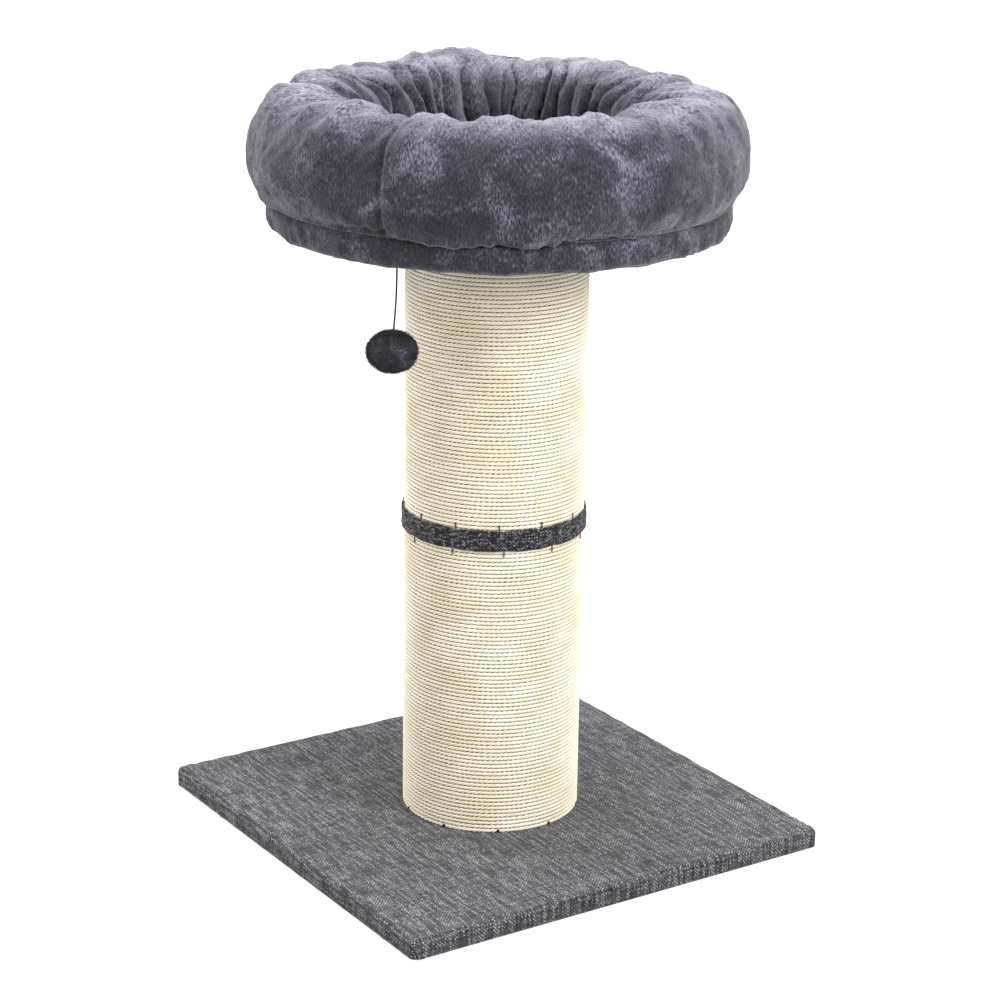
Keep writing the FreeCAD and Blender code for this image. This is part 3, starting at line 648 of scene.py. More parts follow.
# %% Rope: the windings
def grown_mesh(name, tree, inputs, start_mesh=None):
    """Runs a tree on a mesh, or on an empty one, and gives the result as a plain mesh."""
    host = bpy.data.objects.new(name, start_mesh or bpy.data.meshes.new(name))
    bpy.context.scene.collection.objects.link(host)
    modifier = host.modifiers.new(name, "NODES")
    modifier.node_group = tree
    identifiers = {item.name: item.identifier for item in tree.interface.items_tree if item.in_out == "INPUT"}
    for label, value in inputs.items():
        modifier[identifiers[label]] = value
    graph = bpy.context.evaluated_depsgraph_get()
    mesh = bpy.data.meshes.new_from_object(host.evaluated_get(graph), depsgraph=graph)
    start = host.data
    bpy.data.objects.remove(host)
    bpy.data.meshes.remove(start)
    mesh.name = name
    return mesh


winding = rope_tree()
all_turns = round((last_turn_height - first_turn_height) / rope_pitch) + 1
lower_turns = round(((band_low + band_high) / 2 - first_turn_height) / rope_pitch)
stretches = 3
ropes = {
    "lower_rope": (0, lower_turns, ("lower_rope_turns", "lower_rope_sleeve")),
    "upper_rope": (lower_turns, all_turns - lower_turns, ("upper_rope_turns", "upper_rope_sleeve")),
}
for rope_name, (first, turns, stands_for) in ropes.items():
    for part in range(stretches):
        mesh = grown_mesh(f"{rope_name}_{part + 1}", winding, {
            "First Turn": first + turns * part / stretches,
            "Turns": turns / stretches,
            "Samples per Turn": float(rope_samples),
            "First Height": first_turn_height,
            "Last Height": last_turn_height,
            "Pitch": rope_pitch,
            "Line Radius": rope_line_radius,
            "Rope Radius": rope_radius,
            "Start Angle": back_angle,
            "Climb": rope_climb,
            "Strand Crest": strand_crest_mm * MM,
            "Strand Depth": strand_depth,
            "Material": sisal_fibre,
        })
        stretch = show(mesh, sisal_fibre, "post")
        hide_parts(*stands_for)
print("rope:", all_turns, "turns,", rope_samples, "samples in a turn")

# %% [markdown]
# ## The cloth round the foot board
#
# A square of the heathered cloth is pulled over the board, round its edges and stapled underneath, so it is
# tight on top, a little uneven along the edges, and fullest at the corners, where it is folded. The mesh
# goes round the board in rounded squares, from the hem's inner edge over the rim to the bolt hole, and back
# along the board as the cloth's inside. A plain grid would have no such even corners. The UV map is the
# cloth laid flat, so threads run over an edge as real ones do.

# %% Foot cloth
foot_half, _, foot_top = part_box("base_cover")[1]
foot_cloth_thick = 0.8 * MM
foot_corner = 8 * MM
foot_top_edge = 4.5 * MM
foot_low_edge = 2.0 * MM
foot_hem = 30 * MM
foot_hole = 4.5 * MM
post_seat = 95 * MM
steps_per_side = 128
steps_per_corner = 9
corner_crowding = 0.09
top_row_growth = 1.6
hem_rows = 10
outside_counts = (hem_rows, 6, 22)
inside_counts = (2, 3, 6)
edge_zone = 0.93
edge_unevenness = 0.22 * MM
fold_reach = 9 * MM
fold_fullness = 0.7 * MM
fold_rise = 0.25 * MM
staple_cell = 3 * MM
staple_reach = 2.6 * MM
staple_press = 0.72 * MM


def foot_section(inset, hem_rows, edge_rows, top_rows):
    """Rows of (half side, height) from the hem's edge over the rim to the hole in the middle."""
    low_edge, top_edge = foot_low_edge - inset, foot_top_edge - inset
    half, top = foot_half - inset, foot_top - inset
    hem = np.linspace(foot_half - foot_hem, half - low_edge, hem_rows, endpoint=False)
    rows = [(x, inset) for x in hem]
    rows += quarter((half - low_edge, inset + low_edge), low_edge, low_edge, -1, edge_rows)
    rows += quarter((half - top_edge, top - top_edge), top_edge, top_edge, 0, edge_rows)
    share = np.linspace(0, 1, top_rows) ** top_row_growth
    return rows + [(half - top_edge + (foot_hole - half + top_edge) * s, top) for s in share]


def rounded_square(half):
    """Points [round the square][row] and the outward way of each, for rows of given half side."""
    corner = np.minimum(half, np.maximum(foot_corner - (foot_half - half), foot_hole))
    even = np.arange(steps_per_side) / steps_per_side
    along_side = 2 * (even - corner_crowding * np.sin(2 * math.pi * even)) - 1
    turn = np.arange(steps_per_corner) / steps_per_corner * math.pi / 2
    places, ways = [], []
    for side in range(4):
        straight = [(half, s * (half - corner)) for s in along_side]
        bend = [(half - corner + corner * math.cos(a), half - corner + corner * math.sin(a)) for a in turn]
        c, s = math.cos(side * math.pi / 2), math.sin(side * math.pi / 2)
        places += [(c * x - s * y, s * x + c * y) for x, y in straight + bend]
        headings = np.r_[np.zeros(steps_per_side), turn] + side * math.pi / 2
        ways += [(math.cos(a), math.sin(a)) for a in headings]
    return np.moveaxis(np.array(places), 1, 2), np.array(ways)


outer_rows = np.array(foot_section(0.0, *outside_counts))
inner_rows = np.array(foot_section(foot_cloth_thick, *inside_counts))[::-1]
section = np.vstack([outer_rows, inner_rows])
is_outer = (np.arange(len(section)) < len(outer_rows))[None]
ground, ways = rounded_square(section[:, 0])
height = np.broadcast_to(section[:, 1], ground.shape[:2]).copy()
angle = angles_round(len(ground))
from_corner = np.abs(np.abs(ground) - (foot_half - 0.3 * foot_corner)).max(-1)
corner_fold = np.exp(-(from_corner / fold_reach) ** 2)
is_top = section[:, 1] > foot_top - foot_top_edge
near_rim = progress(section[:, 0], post_seat, foot_half)[None]
uneven = edge_unevenness * cloth_waves(angle, section[None, :, 0], 60, 0.03, 61)
above_hem = is_outer * (section[:, 1] > foot_cloth_thick)[None]
swell = above_hem * (uneven * near_rim ** 6 + fold_fullness * corner_fold)
ground = ground + ways[:, None, :] * (swell * (near_rim > edge_zone))[..., None]
height += is_outer * is_top[None] * near_rim ** 3 * (0.6 * uneven + fold_rise * corner_fold)

staple_places = np.array([v.co for v in nodes["base_hem_staples"].data.vertices])[:, :2]
staple_cells = np.unique(np.round(staple_places / staple_cell), axis=0) * staple_cell
is_hem = is_outer & (section[:, 1] < 0.1 * MM)[None]
apart = np.linalg.norm(ground[:, :hem_rows, None, :] - staple_cells[None, None], axis=-1).min(-1)
press = np.zeros(ground.shape[:2])
press[:, :hem_rows] = np.exp(-(apart / staple_reach) ** 2)
height += is_hem * press * staple_press

foot_points = np.concatenate([ground, height[..., None]], -1)
gone = np.r_[0, np.cumsum(np.linalg.norm(np.diff(outer_rows, axis=0), axis=1))]
flat_half = np.r_[gone[-1] - gone, np.interp(inner_rows[:, 0], outer_rows[::-1, 0], (gone[-1] - gone)[::-1])]
flat_cloth = rounded_square(flat_half + foot_hole)[0]
foot_mesh = ring_mesh("foot_cloth", foot_points, (1.0, 1.0))
corner_points = np.empty(len(foot_mesh.loops), np.int32)
foot_mesh.loops.foreach_get("vertex_index", corner_points)
laid_flat = flat_cloth.reshape(-1, 2)[corner_points].astype(np.float32)
foot_mesh.uv_layers[0].data.foreach_set("uv", laid_flat.ravel())
foot_cloth = show(foot_mesh, base_weave, "post")
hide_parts("base_cover")

# %% [markdown]
# ## The cloth band
#
# A tape of charcoal cloth hides the joint of the two ropes. Upright staples pull it in at both edges, so
# between them it swells a little. It is a ring with a rounded section, drawn in near each staple.

# %% Cloth band
band_inner_radius = post_radius + 0.2 * MM
band_around = 400
band_along = 36
band_pinch = 0.5 * MM
band_pinch_width = math.radians(4.5)
band_corner = 1.0 * MM
band_stand = band_radius - 0.9 * MM
band_swell = 0.25 * MM
band_edge_draw = 0.08
band_edge_waver = 0.15 * MM


def angles_of_solids(node, count):
    """The angles round the post at which a node's separate small solids stand."""
    points = np.array([v.co for v in nodes[node].data.vertices])
    angles = np.sort(np.unique(np.round(np.arctan2(points[:, 1], points[:, 0]), 3)))
    jumps = np.where(np.diff(angles) > math.pi / count)[0]
    groups = np.split(angles, jumps + 1)
    return [group.mean() for group in groups if len(group)]


def near_any(angle, centres, width):
    """One at each of the centres, and nothing away from them."""
    apart = [np.abs((angle - centre + math.pi) % (2 * math.pi) - math.pi) for centre in centres]
    return np.exp(-(np.min(apart, axis=0) / width) ** 2)


band_corners = [(band_inner_radius, band_low)]
band_corners += quarter((band_stand - band_corner, band_low + band_corner), band_corner, band_corner, -1, 6)
band_corners += quarter((band_stand - band_corner, band_high - band_corner), band_corner, band_corner, 0, 6)
band_corners += [(band_stand - band_corner, band_high), (band_inner_radius, band_high)]
radii, heights, gone, section_length = section_line(band_corners, band_along)
angle = angles_round(band_around, back_angle)
upper = near_any(angle, angles_of_solids("band_top_staples", count=13), band_pinch_width)
lower = near_any(angle, angles_of_solids("band_bottom_staples", count=11), band_pinch_width)
up = progress(heights, band_low, band_high)[None]
pinched = upper * up ** 2 + lower * (1 - up) ** 2
outside = progress(radii, band_inner_radius, band_stand)[None]
waves = cloth_waves(angle, gone[None], 30, 0.03, 3)
drawn_in = ((band_low + band_high) / 2 - heights[None]) * band_edge_draw * pinched
band_points = round_the_axis(
    radii[None] + outside * (band_swell * waves - band_pinch * pinched),
    heights[None] + drawn_in + band_edge_waver * waves, angle)
band_mesh = ring_mesh("binding_tape", band_points, (2 * math.pi * band_radius, section_length))
band = show(band_mesh, band_weave, "post")
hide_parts("post_band")

# %% [markdown]
# ## The stuffed, gathered rim
#
# On the real bed this is a tube of plush, filled with fibre and bent to a ring. The cloth is as long round
# the nest as it is round the outside, so it gathers there in deep upright creases with puffs between them.
# The mesh starts as a smooth ring with creases at chosen angles: those that the photograph shows at the
# back of the nest, and more of the same kind round the rest. A short cloth simulation then blows the tube
# up against its creases, with the flat underside pinned to the board, and that gives the puffs their
# natural roundness. How far a point may move is capped, so the piece keeps its place.

# %% Rim: the section and the creases
crest_radius = belly_radius - 44.5 * MM
throat_radius = belly_radius - 93.5 * MM
belly_height = bolster_low + 37 * MM
throat_height = bolster_low + 49 * MM
seam_radius = rim_radius - 1.5 * MM
inner_foot_radius = throat_radius + 5 * MM
rim_around = 320
rim_along = 76

rim_corners = []
for turned, radius, height, far_radius, far_height in (
        (-1, seam_radius, belly_height, belly_radius, bolster_low),
        (0, crest_radius, belly_height, belly_radius, bolster_high),
        (1, crest_radius, throat_height, throat_radius, bolster_high),
        (2, inner_foot_radius, throat_height, throat_radius, bolster_low)):
    rim_corners += quarter((radius, height), abs(far_radius - radius), abs(far_height - height), turned)
rim_corners.append((inner_foot_radius, bolster_low))
radii, heights, gone, rim_section_length = section_line(rim_corners, rim_along)
underside = heights < bolster_low + 0.5 * MM

creases_seen = (-66, -57, -48, -40, -31, -23, -17, -11, -5, -1, 5, 13, 23, 28, 35, 41, 50, 60, 70)
crease_spacing = (6.5, 11.5)
crease_depth = 13 * MM
crease_strength = (0.4, 1.35)
crease_wander = math.radians(1.6)
puff_sharpness = 0.6
rng = np.random.default_rng(11)
creases = list(creases_seen)
while creases[-1] < 360 + creases[0] - crease_spacing[1]:
    creases.append(creases[-1] + rng.uniform(*crease_spacing))
creases = np.sort(np.mod(np.radians(creases) + back_angle, 2 * math.pi))
strengths = rng.uniform(*crease_strength, len(creases))
print("creases:", len(creases))


def crease_pull(angle):
    """How strongly the cloth is drawn in: most at a crease, nothing in the middle of a puff."""
    angle = np.mod(angle, 2 * math.pi)
    edges = np.r_[creases[-1] - 2 * math.pi, creases, creases[0] + 2 * math.pi]
    powers = np.r_[strengths[-1], strengths, strengths[0]]
    at = np.searchsorted(edges, angle, side="right") - 1
    share = (angle - edges[at]) / (edges[at + 1] - edges[at])
    nearest = np.where(share < 0.5, powers[at], powers[at + 1])
    return (1 - np.sin(math.pi * share) ** puff_sharpness) * nearest


# %% Rim: the starting shape
start_inset = 3 * MM
crest_lumps = (  # degrees from the back, half width in degrees, rise in mm
    (22, 11, 6.0), (9, 8, 6.5), (-20, 14, 1.5), (58, 8, -3.5), (-50, 8, -2.5), (-35, 6, 1.5),
    (-80, 22, -3.0), (82, 22, -2.0), (180, 5, 2.0), (191, 5, -2.5), (170, 4, -2.0), (160, 6, 3.0),
    (150, 5, -4.0), (138, 7, 3.0), (205, 7, 2.0), (216, 5, -2.0), (232, 9, 2.5), (120, 8, -2.0),
    (100, 9, 2.5), (262, 10, 2.5), (290, 9, -2.0))
gathers_end_mm = 12
gathers_end_more_at_sides_mm = 14
gathers_end_waver = 7 * MM
gather_run = crest_radius + 8 * MM - throat_radius
least_gather_at_foot = 0.85
smooth_outside = crest_radius + 30 * MM
crest_dip = 4 * MM
fullness = 1.8 * MM

seam_angle = front_angle + math.radians(-26.5)
angle = angles_round(rim_around, seam_angle)
reach = cloth_waves(angle, 0 * angle, 14, 1.0, 21)
outward = (gathers_end_mm + gathers_end_more_at_sides_mm * np.sin(angle - front_angle) ** 2) * MM
gathers_end = crest_radius + outward + gathers_end_waver * reach
inner_share = eased(np.clip((gathers_end - radii[None]) / gather_run, 0, 1))
at_foot = np.maximum(inner_share, least_gather_at_foot)
inner_share = np.where(heights[None] < throat_height, at_foot, inner_share)
inner_share = np.where(radii[None] > smooth_outside, 0, inner_share)
wandered = angle + crease_wander * cloth_waves(angle, gone[None], 9, 0.09, 22)
pull = crease_pull(wandered)
on_top = progress(heights[None], belly_height, bolster_high)
lump_rise = sum(rise * MM * near_any(angle, [back_angle + math.radians(at)], math.radians(half))
                for at, half, rise in crest_lumps)
fuller = fullness * cloth_waves(angle, gone[None], 7, 0.25, 23)
moved_radius = radii[None] + crease_depth * inner_share * pull + np.sign(radii[None] - crest_radius) * fuller
moved_height = heights[None] - crest_dip * pull * inner_share * on_top + lump_rise * on_top ** 2
still = underside[None] | np.zeros_like(moved_radius, bool)
moved_radius = np.where(still, radii[None], moved_radius)
moved_height = np.where(still, heights[None], np.maximum(moved_height, bolster_low))
hub_height = (bolster_low + bolster_high) / 2
toward_hub = np.hypot(moved_radius - crest_radius, moved_height - hub_height)
shrink = np.where(still, 0, start_inset / toward_hub)
moved_radius += (crest_radius - moved_radius) * shrink
moved_height += (hub_height - moved_height) * shrink
ring_start = round_the_axis(moved_radius, moved_height, angle)

# %% [markdown]
# The simulation runs here, and its last frame becomes the mesh.

# %% Rim: the cloth simulation
def as_cut(radii, heights, pinned, widest):
    """The cloth before it was gathered: as long round its inner side as it is round the outside."""
    cut_radii = np.where(pinned, radii, widest)
    run = np.hypot(np.diff(radii), np.diff(heights))
    rise = np.sqrt(np.maximum(run ** 2 - np.diff(cut_radii) ** 2, 1e-9))
    return cut_radii, np.r_[0, np.cumsum(np.where(np.diff(heights) >= 0, rise, -rise))]


def inflated(name, start, pinned, pressure, frames, cap, cut=None):
    """Blows up a closed cloth mesh, and gives its points back with each move capped."""
    mesh = ring_mesh(name, start, (1, 1))
    cloth = bpy.data.objects.new(name, mesh)
    bpy.context.scene.collection.objects.link(cloth)
    group = cloth.vertex_groups.new(name="sewn down")
    group.add(np.flatnonzero(pinned.ravel()).tolist(), 1.0, "REPLACE")
    modifier = cloth.modifiers.new("stuffing", "CLOTH")
    settings = modifier.settings
    if cut is not None:
        cloth.shape_key_add(name="Basis")
        pattern = cloth.shape_key_add(name="pattern")
        pattern.data.foreach_set("co", cut.astype(np.float32).ravel())
        pattern.value = 0.0
        settings.rest_shape_key = pattern
    settings.quality = 6
    settings.mass = 0.3
    settings.tension_stiffness = 15
    settings.compression_stiffness = 8
    settings.shear_stiffness = 5
    settings.bending_stiffness = 0.05
    settings.air_damping = 4
    settings.use_pressure = True
    settings.uniform_pressure_force = pressure
    settings.vertex_group_mass = "sewn down"
    settings.effector_weights.gravity = 0.0
    modifier.collision_settings.use_collision = False
    modifier.point_cache.frame_start = 1
    modifier.point_cache.frame_end = frames
    for step in range(1, frames + 1):
        bpy.context.scene.frame_set(step)
    graph = bpy.context.evaluated_depsgraph_get()
    result = cloth.evaluated_get(graph).to_mesh()
    points = np.zeros(len(result.vertices) * 3)
    result.vertices.foreach_get("co", points)
    bpy.data.objects.remove(cloth)
    bpy.data.meshes.remove(mesh)
    bpy.context.scene.frame_set(1)
    move = points.reshape(start.shape) - start
    far = np.linalg.norm(move, axis=-1, keepdims=True)
    print(f"{name}: points moved {far.mean() / MM:.1f} mm on average, {far.max() / MM:.1f} mm at most")
    return start + move * np.minimum(1, cap / np.maximum(far, 1e-9))


pressure_force = 5.0
settle_frames = 32
stuffing_cap = 14 * MM
outer_kept = 0.55
outer_kept_from = 25 * MM
stuffed = ring_start
cut_radii, cut_heights = as_cut(radii, heights, underside, belly_radius)
pattern = round_the_axis(cut_radii[None], cut_heights[None], angle)
blown = inflated("stuffed_tube", ring_start, still, pressure_force, settle_frames, stuffing_cap, pattern)
kept = outer_kept * progress(radii[None] - crest_radius, 0, outer_kept_from)[..., None]
stuffed = blown + (ring_start - blown) * kept

# %% [markdown]
# After the simulation come the things that are finer than its mesh: the wrinkles along the seam with the
# board, the sewn seam that runs up the outside of the tube, and the long shallow wrinkles where the plush is
# pulled over the crest. They are moves along the surface's own direction, out from the tube's middle line.

# %% Rim: seams and wrinkles
seam_groove = 3.2 * MM
seam_width = 2.6 * MM
pucker = 0.55 * MM
crest_wrinkle = 2.1 * MM
overhang = 0.6 * MM
crest_drop = 3.4 * MM
sag_all_round = 2 * MM
sag_front_and_back = 5 * MM
sag_height = 34 * MM
foot_reach = 20 * MM
pucker_reach = 22 * MM
crest_reach = 22 * MM
outer_reach = 20 * MM
belly_waves = 1.2 * MM
pile_waves = 0.22 * MM
board_gap = 0.3 * MM
board_turn = 3 * MM
widest = belly_radius + 4 * MM


def finer(points):
    """Twice as many points each way on a closed grid, with the old points kept and a smooth line between."""
    for way in (0, 1):
        middle = (9 * (points + np.roll(points, -1, way))
                  - np.roll(points, 1, way) - np.roll(points, -2, way)) / 16
        points = np.stack([points, middle], way + 1).reshape(
            [n * 2 if k == way else n for k, n in enumerate(points.shape)])
    return points


fine = finer(stuffed)
angle = angles_round(2 * rim_around, seam_angle)
gone = np.arange(2 * rim_along) / (2 * rim_along) * rim_section_length
rim_radii = np.hypot(fine[..., 0], fine[..., 1])
rim_heights = fine[..., 2]
still = (rim_heights < bolster_low + 0.3 * MM) & (rim_radii < seam_radius + 0.5 * MM)
free = progress(rim_heights - bolster_low, 0, foot_reach)
wider = belly_radius + overhang - rim_radii.max(axis=1).mean()
rim_radii = rim_radii + wider * free * progress(rim_radii - crest_radius, 0, outer_kept_from)
higher = bolster_high - crest_drop - rim_heights.max(axis=1).mean()
rim_heights = rim_heights + higher * progress(rim_heights, belly_height, bolster_high)
print("stuffed rim: radius", round(float(rim_radii.max()), 4), "top", round(float(rim_heights.max()), 4))
from_hub = np.hypot(rim_radii - crest_radius, rim_heights - hub_height)
low_share = (1 - progress(rim_heights - bolster_low, 0, pucker_reach)) * (rim_radii > crest_radius)
top_share = np.exp(-((rim_heights - bolster_high) / crest_reach) ** 2)
to_seam = np.abs((angle - seam_angle + math.pi) % (2 * math.pi) - math.pi) * rim_radii
outer_share = progress(rim_radii - crest_radius, 0, outer_reach)
push = -seam_groove * np.exp(-(to_seam / seam_width) ** 2) * outer_share
push = push - seam_groove * 0.5 * np.exp(-(to_seam / (6 * seam_width)) ** 2) * outer_share
push = push + pucker * low_share * cloth_waves(angle, gone[None], 70, 0.05, 31)
sides = 0.25 + 0.75 * np.abs(np.sin(angle - front_angle))
push = push + crest_wrinkle * sides * top_share * cloth_waves(angle, gone[None], 40, 0.12, 32)
push = push + belly_waves * outer_share * cloth_waves(angle, gone[None], 16, 0.08, 34)
push = push + pile_waves * cloth_waves(angle, gone[None], 70, 0.02, 33)
push = np.where(still, 0, push)
final_radii = rim_radii + (rim_radii - crest_radius) / from_hub * push
final_heights = rim_heights + (rim_heights - hub_height) / from_hub * push
final_heights = np.maximum(final_heights, bolster_low)
final_radii = np.minimum(final_radii, widest)
outside_board = eased(progress(rim_radii - rim_radius - board_gap, 0, board_turn))
sag = sag_all_round + sag_front_and_back * np.cos(2 * (angle - front_angle))
final_heights -= outside_board * sag * (1 - progress(final_heights - bolster_low, 0, sag_height))
bolster_points = round_the_axis(final_radii, final_heights, angle)
bolster_mesh = ring_mesh("stuffed_rim", bolster_points, (2 * math.pi * belly_radius, rim_section_length))
bolster = show(bolster_mesh, bed_plush, "post")
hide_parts("bolster_cover", "bolster_filling")

# %% [markdown]
# ## The plush round the bed's board
#
# Plush is pulled round a wooden disc and stapled under the stuffed rim. Its lower edge is soft and round,
# and it puckers where it is pulled tight. The shell is closed: an outer face with the puckers, and an inner
# face that lies on the board.

# %% Plush round the board
board_plush = 4.2 * MM
rim_low_edge = 8 * MM
rim_top_edge = 4.6 * MM
hem_radius = inner_foot_radius + 0.5 * MM
bolt_hole_radius = 4.5 * MM
deepest_pull = 3.2 * MM
board_around = 480
board_along = 120
ripple_size = 0.55 * MM
edge_ripple = 0.5 * MM
edge_ripple_from = rim_radius - 16 * MM
left_pull_mm = 1.2
left_pull_more_below_mm = 2.2
fold_round = 0.4 * MM

outer_face = [(bolt_hole_radius, rim_low)]
outer_face += quarter((rim_radius - rim_low_edge, rim_low + rim_low_edge), rim_low_edge, rim_low_edge, -1, 10)
outer_face += quarter((rim_radius - rim_top_edge, rim_high - rim_top_edge), rim_top_edge, rim_top_edge, 0, 8)
outer_face += [(rim_radius - rim_top_edge, rim_high), (hem_radius, rim_high)]
inner_radius = rim_radius - board_plush
inner_face = [(hem_radius, rim_high - board_plush), (inner_radius - fold_round, rim_high - board_plush),
              (inner_radius, rim_high - board_plush - fold_round), (inner_radius, rim_low + rim_low_edge),
              (rim_radius - rim_low_edge, rim_low + board_plush), (bolt_hole_radius, rim_low + board_plush)]
radii, heights, gone, board_section_length = section_line(outer_face + inner_face, board_along)
angle = angles_round(board_around, back_angle)
is_outside = (radii > inner_radius + 1 * MM) | (heights < rim_low + 3 * MM)
is_outer = is_outside & (radii > rim_radius - rim_low_edge)
ripple = ripple_size * cloth_waves(angle, gone[None], 60, 0.03, 41)
ripple = ripple + ripple_size * cloth_waves(angle, gone[None], 18, 0.1, 42)
lower_edge = edge_ripple * cloth_waves(angle, 0 * angle, 22, 1.0, 43)
left_angle = front_angle - math.pi / 2
slack = np.maximum(np.cos(angle - left_angle), 0) ** 2
low = 1 - progress(heights[None], rim_low, rim_high)
left_pull = slack * (left_pull_mm + left_pull_more_below_mm * low) * MM
pulled = np.where(is_outer[None], np.maximum(ripple - left_pull, -deepest_pull), 0)
edge_move = np.where(is_outer[None], lower_edge * low * (radii[None] > edge_ripple_from), 0)
board_points = round_the_axis(radii[None] + pulled, heights[None] + edge_move, angle)
board_mesh = ring_mesh("board_plush", board_points, (2 * math.pi * rim_radius, board_section_length))
board_cover = show(board_mesh, bed_plush, "post")
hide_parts("rim_cover")

# %% [markdown]
# ## The pad in the nest
#
# A thin round cushion fills the nest. It is two discs sewn together at their edge, so it has a crown and
# small puckers along its rim. It starts as a disc with a tiny hole, goes through the same cloth simulation,
# and then the hole is drawn shut.

# %% Pad in the nest
pad_around = 128
pad_edge = inner_foot_radius + 0.3 * MM
pad_along = 48
pad_side = 7 * MM
pad_middle = pad_low + pad_side
pad_edge_inset = 5 * MM
pad_hole = 0.4 * MM
pad_edge_reach = 16 * MM
pad_dimple = 0.8 * MM
pad_sag = 1.2 * MM
pad_shrink = 0.01


def close_poles(mesh, reach):
    """Draws the points round the post's axis together, and drops what joins one side's to the other's."""
    work = bmesh.new()
    work.from_mesh(mesh)
    middle = [vertex for vertex in work.verts if vertex.co.xy.length < reach]
    bmesh.ops.remove_doubles(work, verts=middle, dist=1.5 * reach)
    bmesh.ops.delete(work, geom=[edge for edge in work.edges if not edge.link_faces], context="EDGES")
    bmesh.ops.delete(work, geom=[vertex for vertex in work.verts if not vertex.link_faces], context="VERTS")
    open_edges = sum(len(edge.link_faces) != 2 for edge in work.edges)
    work.to_mesh(mesh)
    work.free()
    print(f"{mesh.name}: {open_edges} open edges")


pad_corners = [(pad_hole, pad_low), (pad_edge - pad_edge_inset, pad_low)]
pad_corners += quarter((pad_edge - pad_edge_inset, pad_middle), pad_edge_inset, pad_side, -1, 10)
pad_corners += quarter((pad_hole, pad_middle), pad_edge - pad_hole, pad_high - pad_middle, 0, 40)
radii, heights, gone, pad_section_length = section_line(pad_corners, pad_along)
angle = angles_round(pad_around)
flat_side = heights < pad_low + 0.5 * MM
edge_share = np.exp(-((radii - pad_edge) / pad_edge_reach) ** 2)[None]
dimple = np.abs(pad_dimple * edge_share * cloth_waves(angle, gone[None], 26, 0.08, 51))
sag = np.abs(pad_sag * cloth_waves(angle, gone[None], 3, 0.2, 52) * progress(radii, 0, pad_edge)[None])
crown = heights[None] * (1 - pad_shrink) + pad_middle * pad_shrink - dimple - sag
pad_height = np.where(flat_side[None], heights[None], crown)
pad_points = round_the_axis(radii[None] - np.where(flat_side[None], 0, dimple), pad_height, angle)
pad_still = np.broadcast_to((flat_side | (radii < 2 * MM))[None], pad_points.shape[:2])
pad_points = inflated("nest_pad_cloth", pad_points, pad_still, pressure=3.0, frames=12, cap=3 * MM)
pad_points[..., 2] = np.clip(pad_points[..., 2], pad_low, pad_high)
pad_mesh = ring_mesh("nest_pad", finer(pad_points), (2 * math.pi * pad_edge, pad_section_length))
close_poles(pad_mesh, 2 * pad_hole)
pad = show(pad_mesh, bed_plush, "post")
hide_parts("floor_pad_cover", "floor_pad_foam")

# %% [markdown]
# ## The plush ball
#
# The ball is small enough for its pile to show as a soft edge. Its body is a slightly flattened ball, and
# Geometry Nodes set several thousand fine tufts on it, each leaning its own way.

# %% Ball: the body
ball_low, ball_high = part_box("pompom_cover")
ball_centre = (ball_low + ball_high) / 2
pile_length = 2.6 * MM
pile_over_body = 0.75
ball_half = (ball_high - ball_low) / 2 - Vector((pile_length, pile_length, pile_length)) * pile_over_body
ball_detail = 5
ball_lumps = 0.012

ball_host = bpy.data.meshes.new("plush_ball")
body = bmesh.new()
bmesh.ops.create_icosphere(body, subdivisions=ball_detail, radius=1.0)
for vertex in body.verts:
    x, y, z = vertex.co
    lump = 1 + ball_lumps * math.sin(5 * x + 2) * math.sin(4 * y + 1) * math.sin(6 * z)
    vertex.co = ball_centre + Vector(a * b for a, b in zip(vertex.co, ball_half)) * lump
body.to_mesh(ball_host)
body.free()
ball_host.polygons.foreach_set("use_smooth", np.ones(len(ball_host.polygons), bool))

# %% Ball: the pile
def pile_tree():
    """Geometry Nodes that set tufts on a surface and lean each its own way."""
    tree, given, result = new_geometry_tree("plush_pile", {
        "Geometry": "Geometry", "Tuft Length": "Float", "Tuft Radius": "Float", "Spacing": "Float",
        "Lean": "Float", "Seed": "Int", "Material": "Material"})
    points = add_node(tree, "GeometryNodeDistributePointsOnFaces", {
        "Mesh": given["Geometry"], "Distance Min": given["Spacing"], "Density Max": 5e6,
        "Seed": given["Seed"]}, distribute_method="POISSON")
    tuft = add_node(tree, "GeometryNodeMeshCone", {
        "Vertices": 3, "Side Segments": 1, "Radius Top": 0.0, "Radius Bottom": given["Tuft Radius"],
        "Depth": given["Tuft Length"]})
    size = add_node(tree, "FunctionNodeRandomValue", {
        2: 0.75, 3: 1.25, "Seed": given["Seed"]}, data_type="FLOAT")
    planted = add_node(tree, "GeometryNodeInstanceOnPoints", {
        "Points": points.outputs["Points"], "Instance": tuft.outputs["Mesh"],
        "Rotation": points.outputs["Rotation"], "Scale": size.outputs[1]})
    back = worked_out(tree, "MULTIPLY", given["Lean"], -1.0)
    low = add_node(tree, "ShaderNodeCombineXYZ", {0: back, 1: back})
    high = add_node(tree, "ShaderNodeCombineXYZ", {0: given["Lean"], 1: given["Lean"], 2: 6.28})
    lean = add_node(tree, "FunctionNodeRandomValue", {
        0: low.outputs[0], 1: high.outputs[0], "Seed": given["Seed"]}, data_type="FLOAT_VECTOR")
    leaning = add_node(tree, "GeometryNodeRotateInstances", {
        "Instances": planted.outputs[0], "Rotation": lean.outputs[0]})
    real = add_node(tree, "GeometryNodeRealizeInstances", {"Geometry": leaning.outputs[0]})
    done = add_node(tree, "GeometryNodeSetMaterial", {
        "Geometry": real.outputs[0], "Material": given["Material"]})
    tree.links.new(done.outputs[0], result)
    return tree


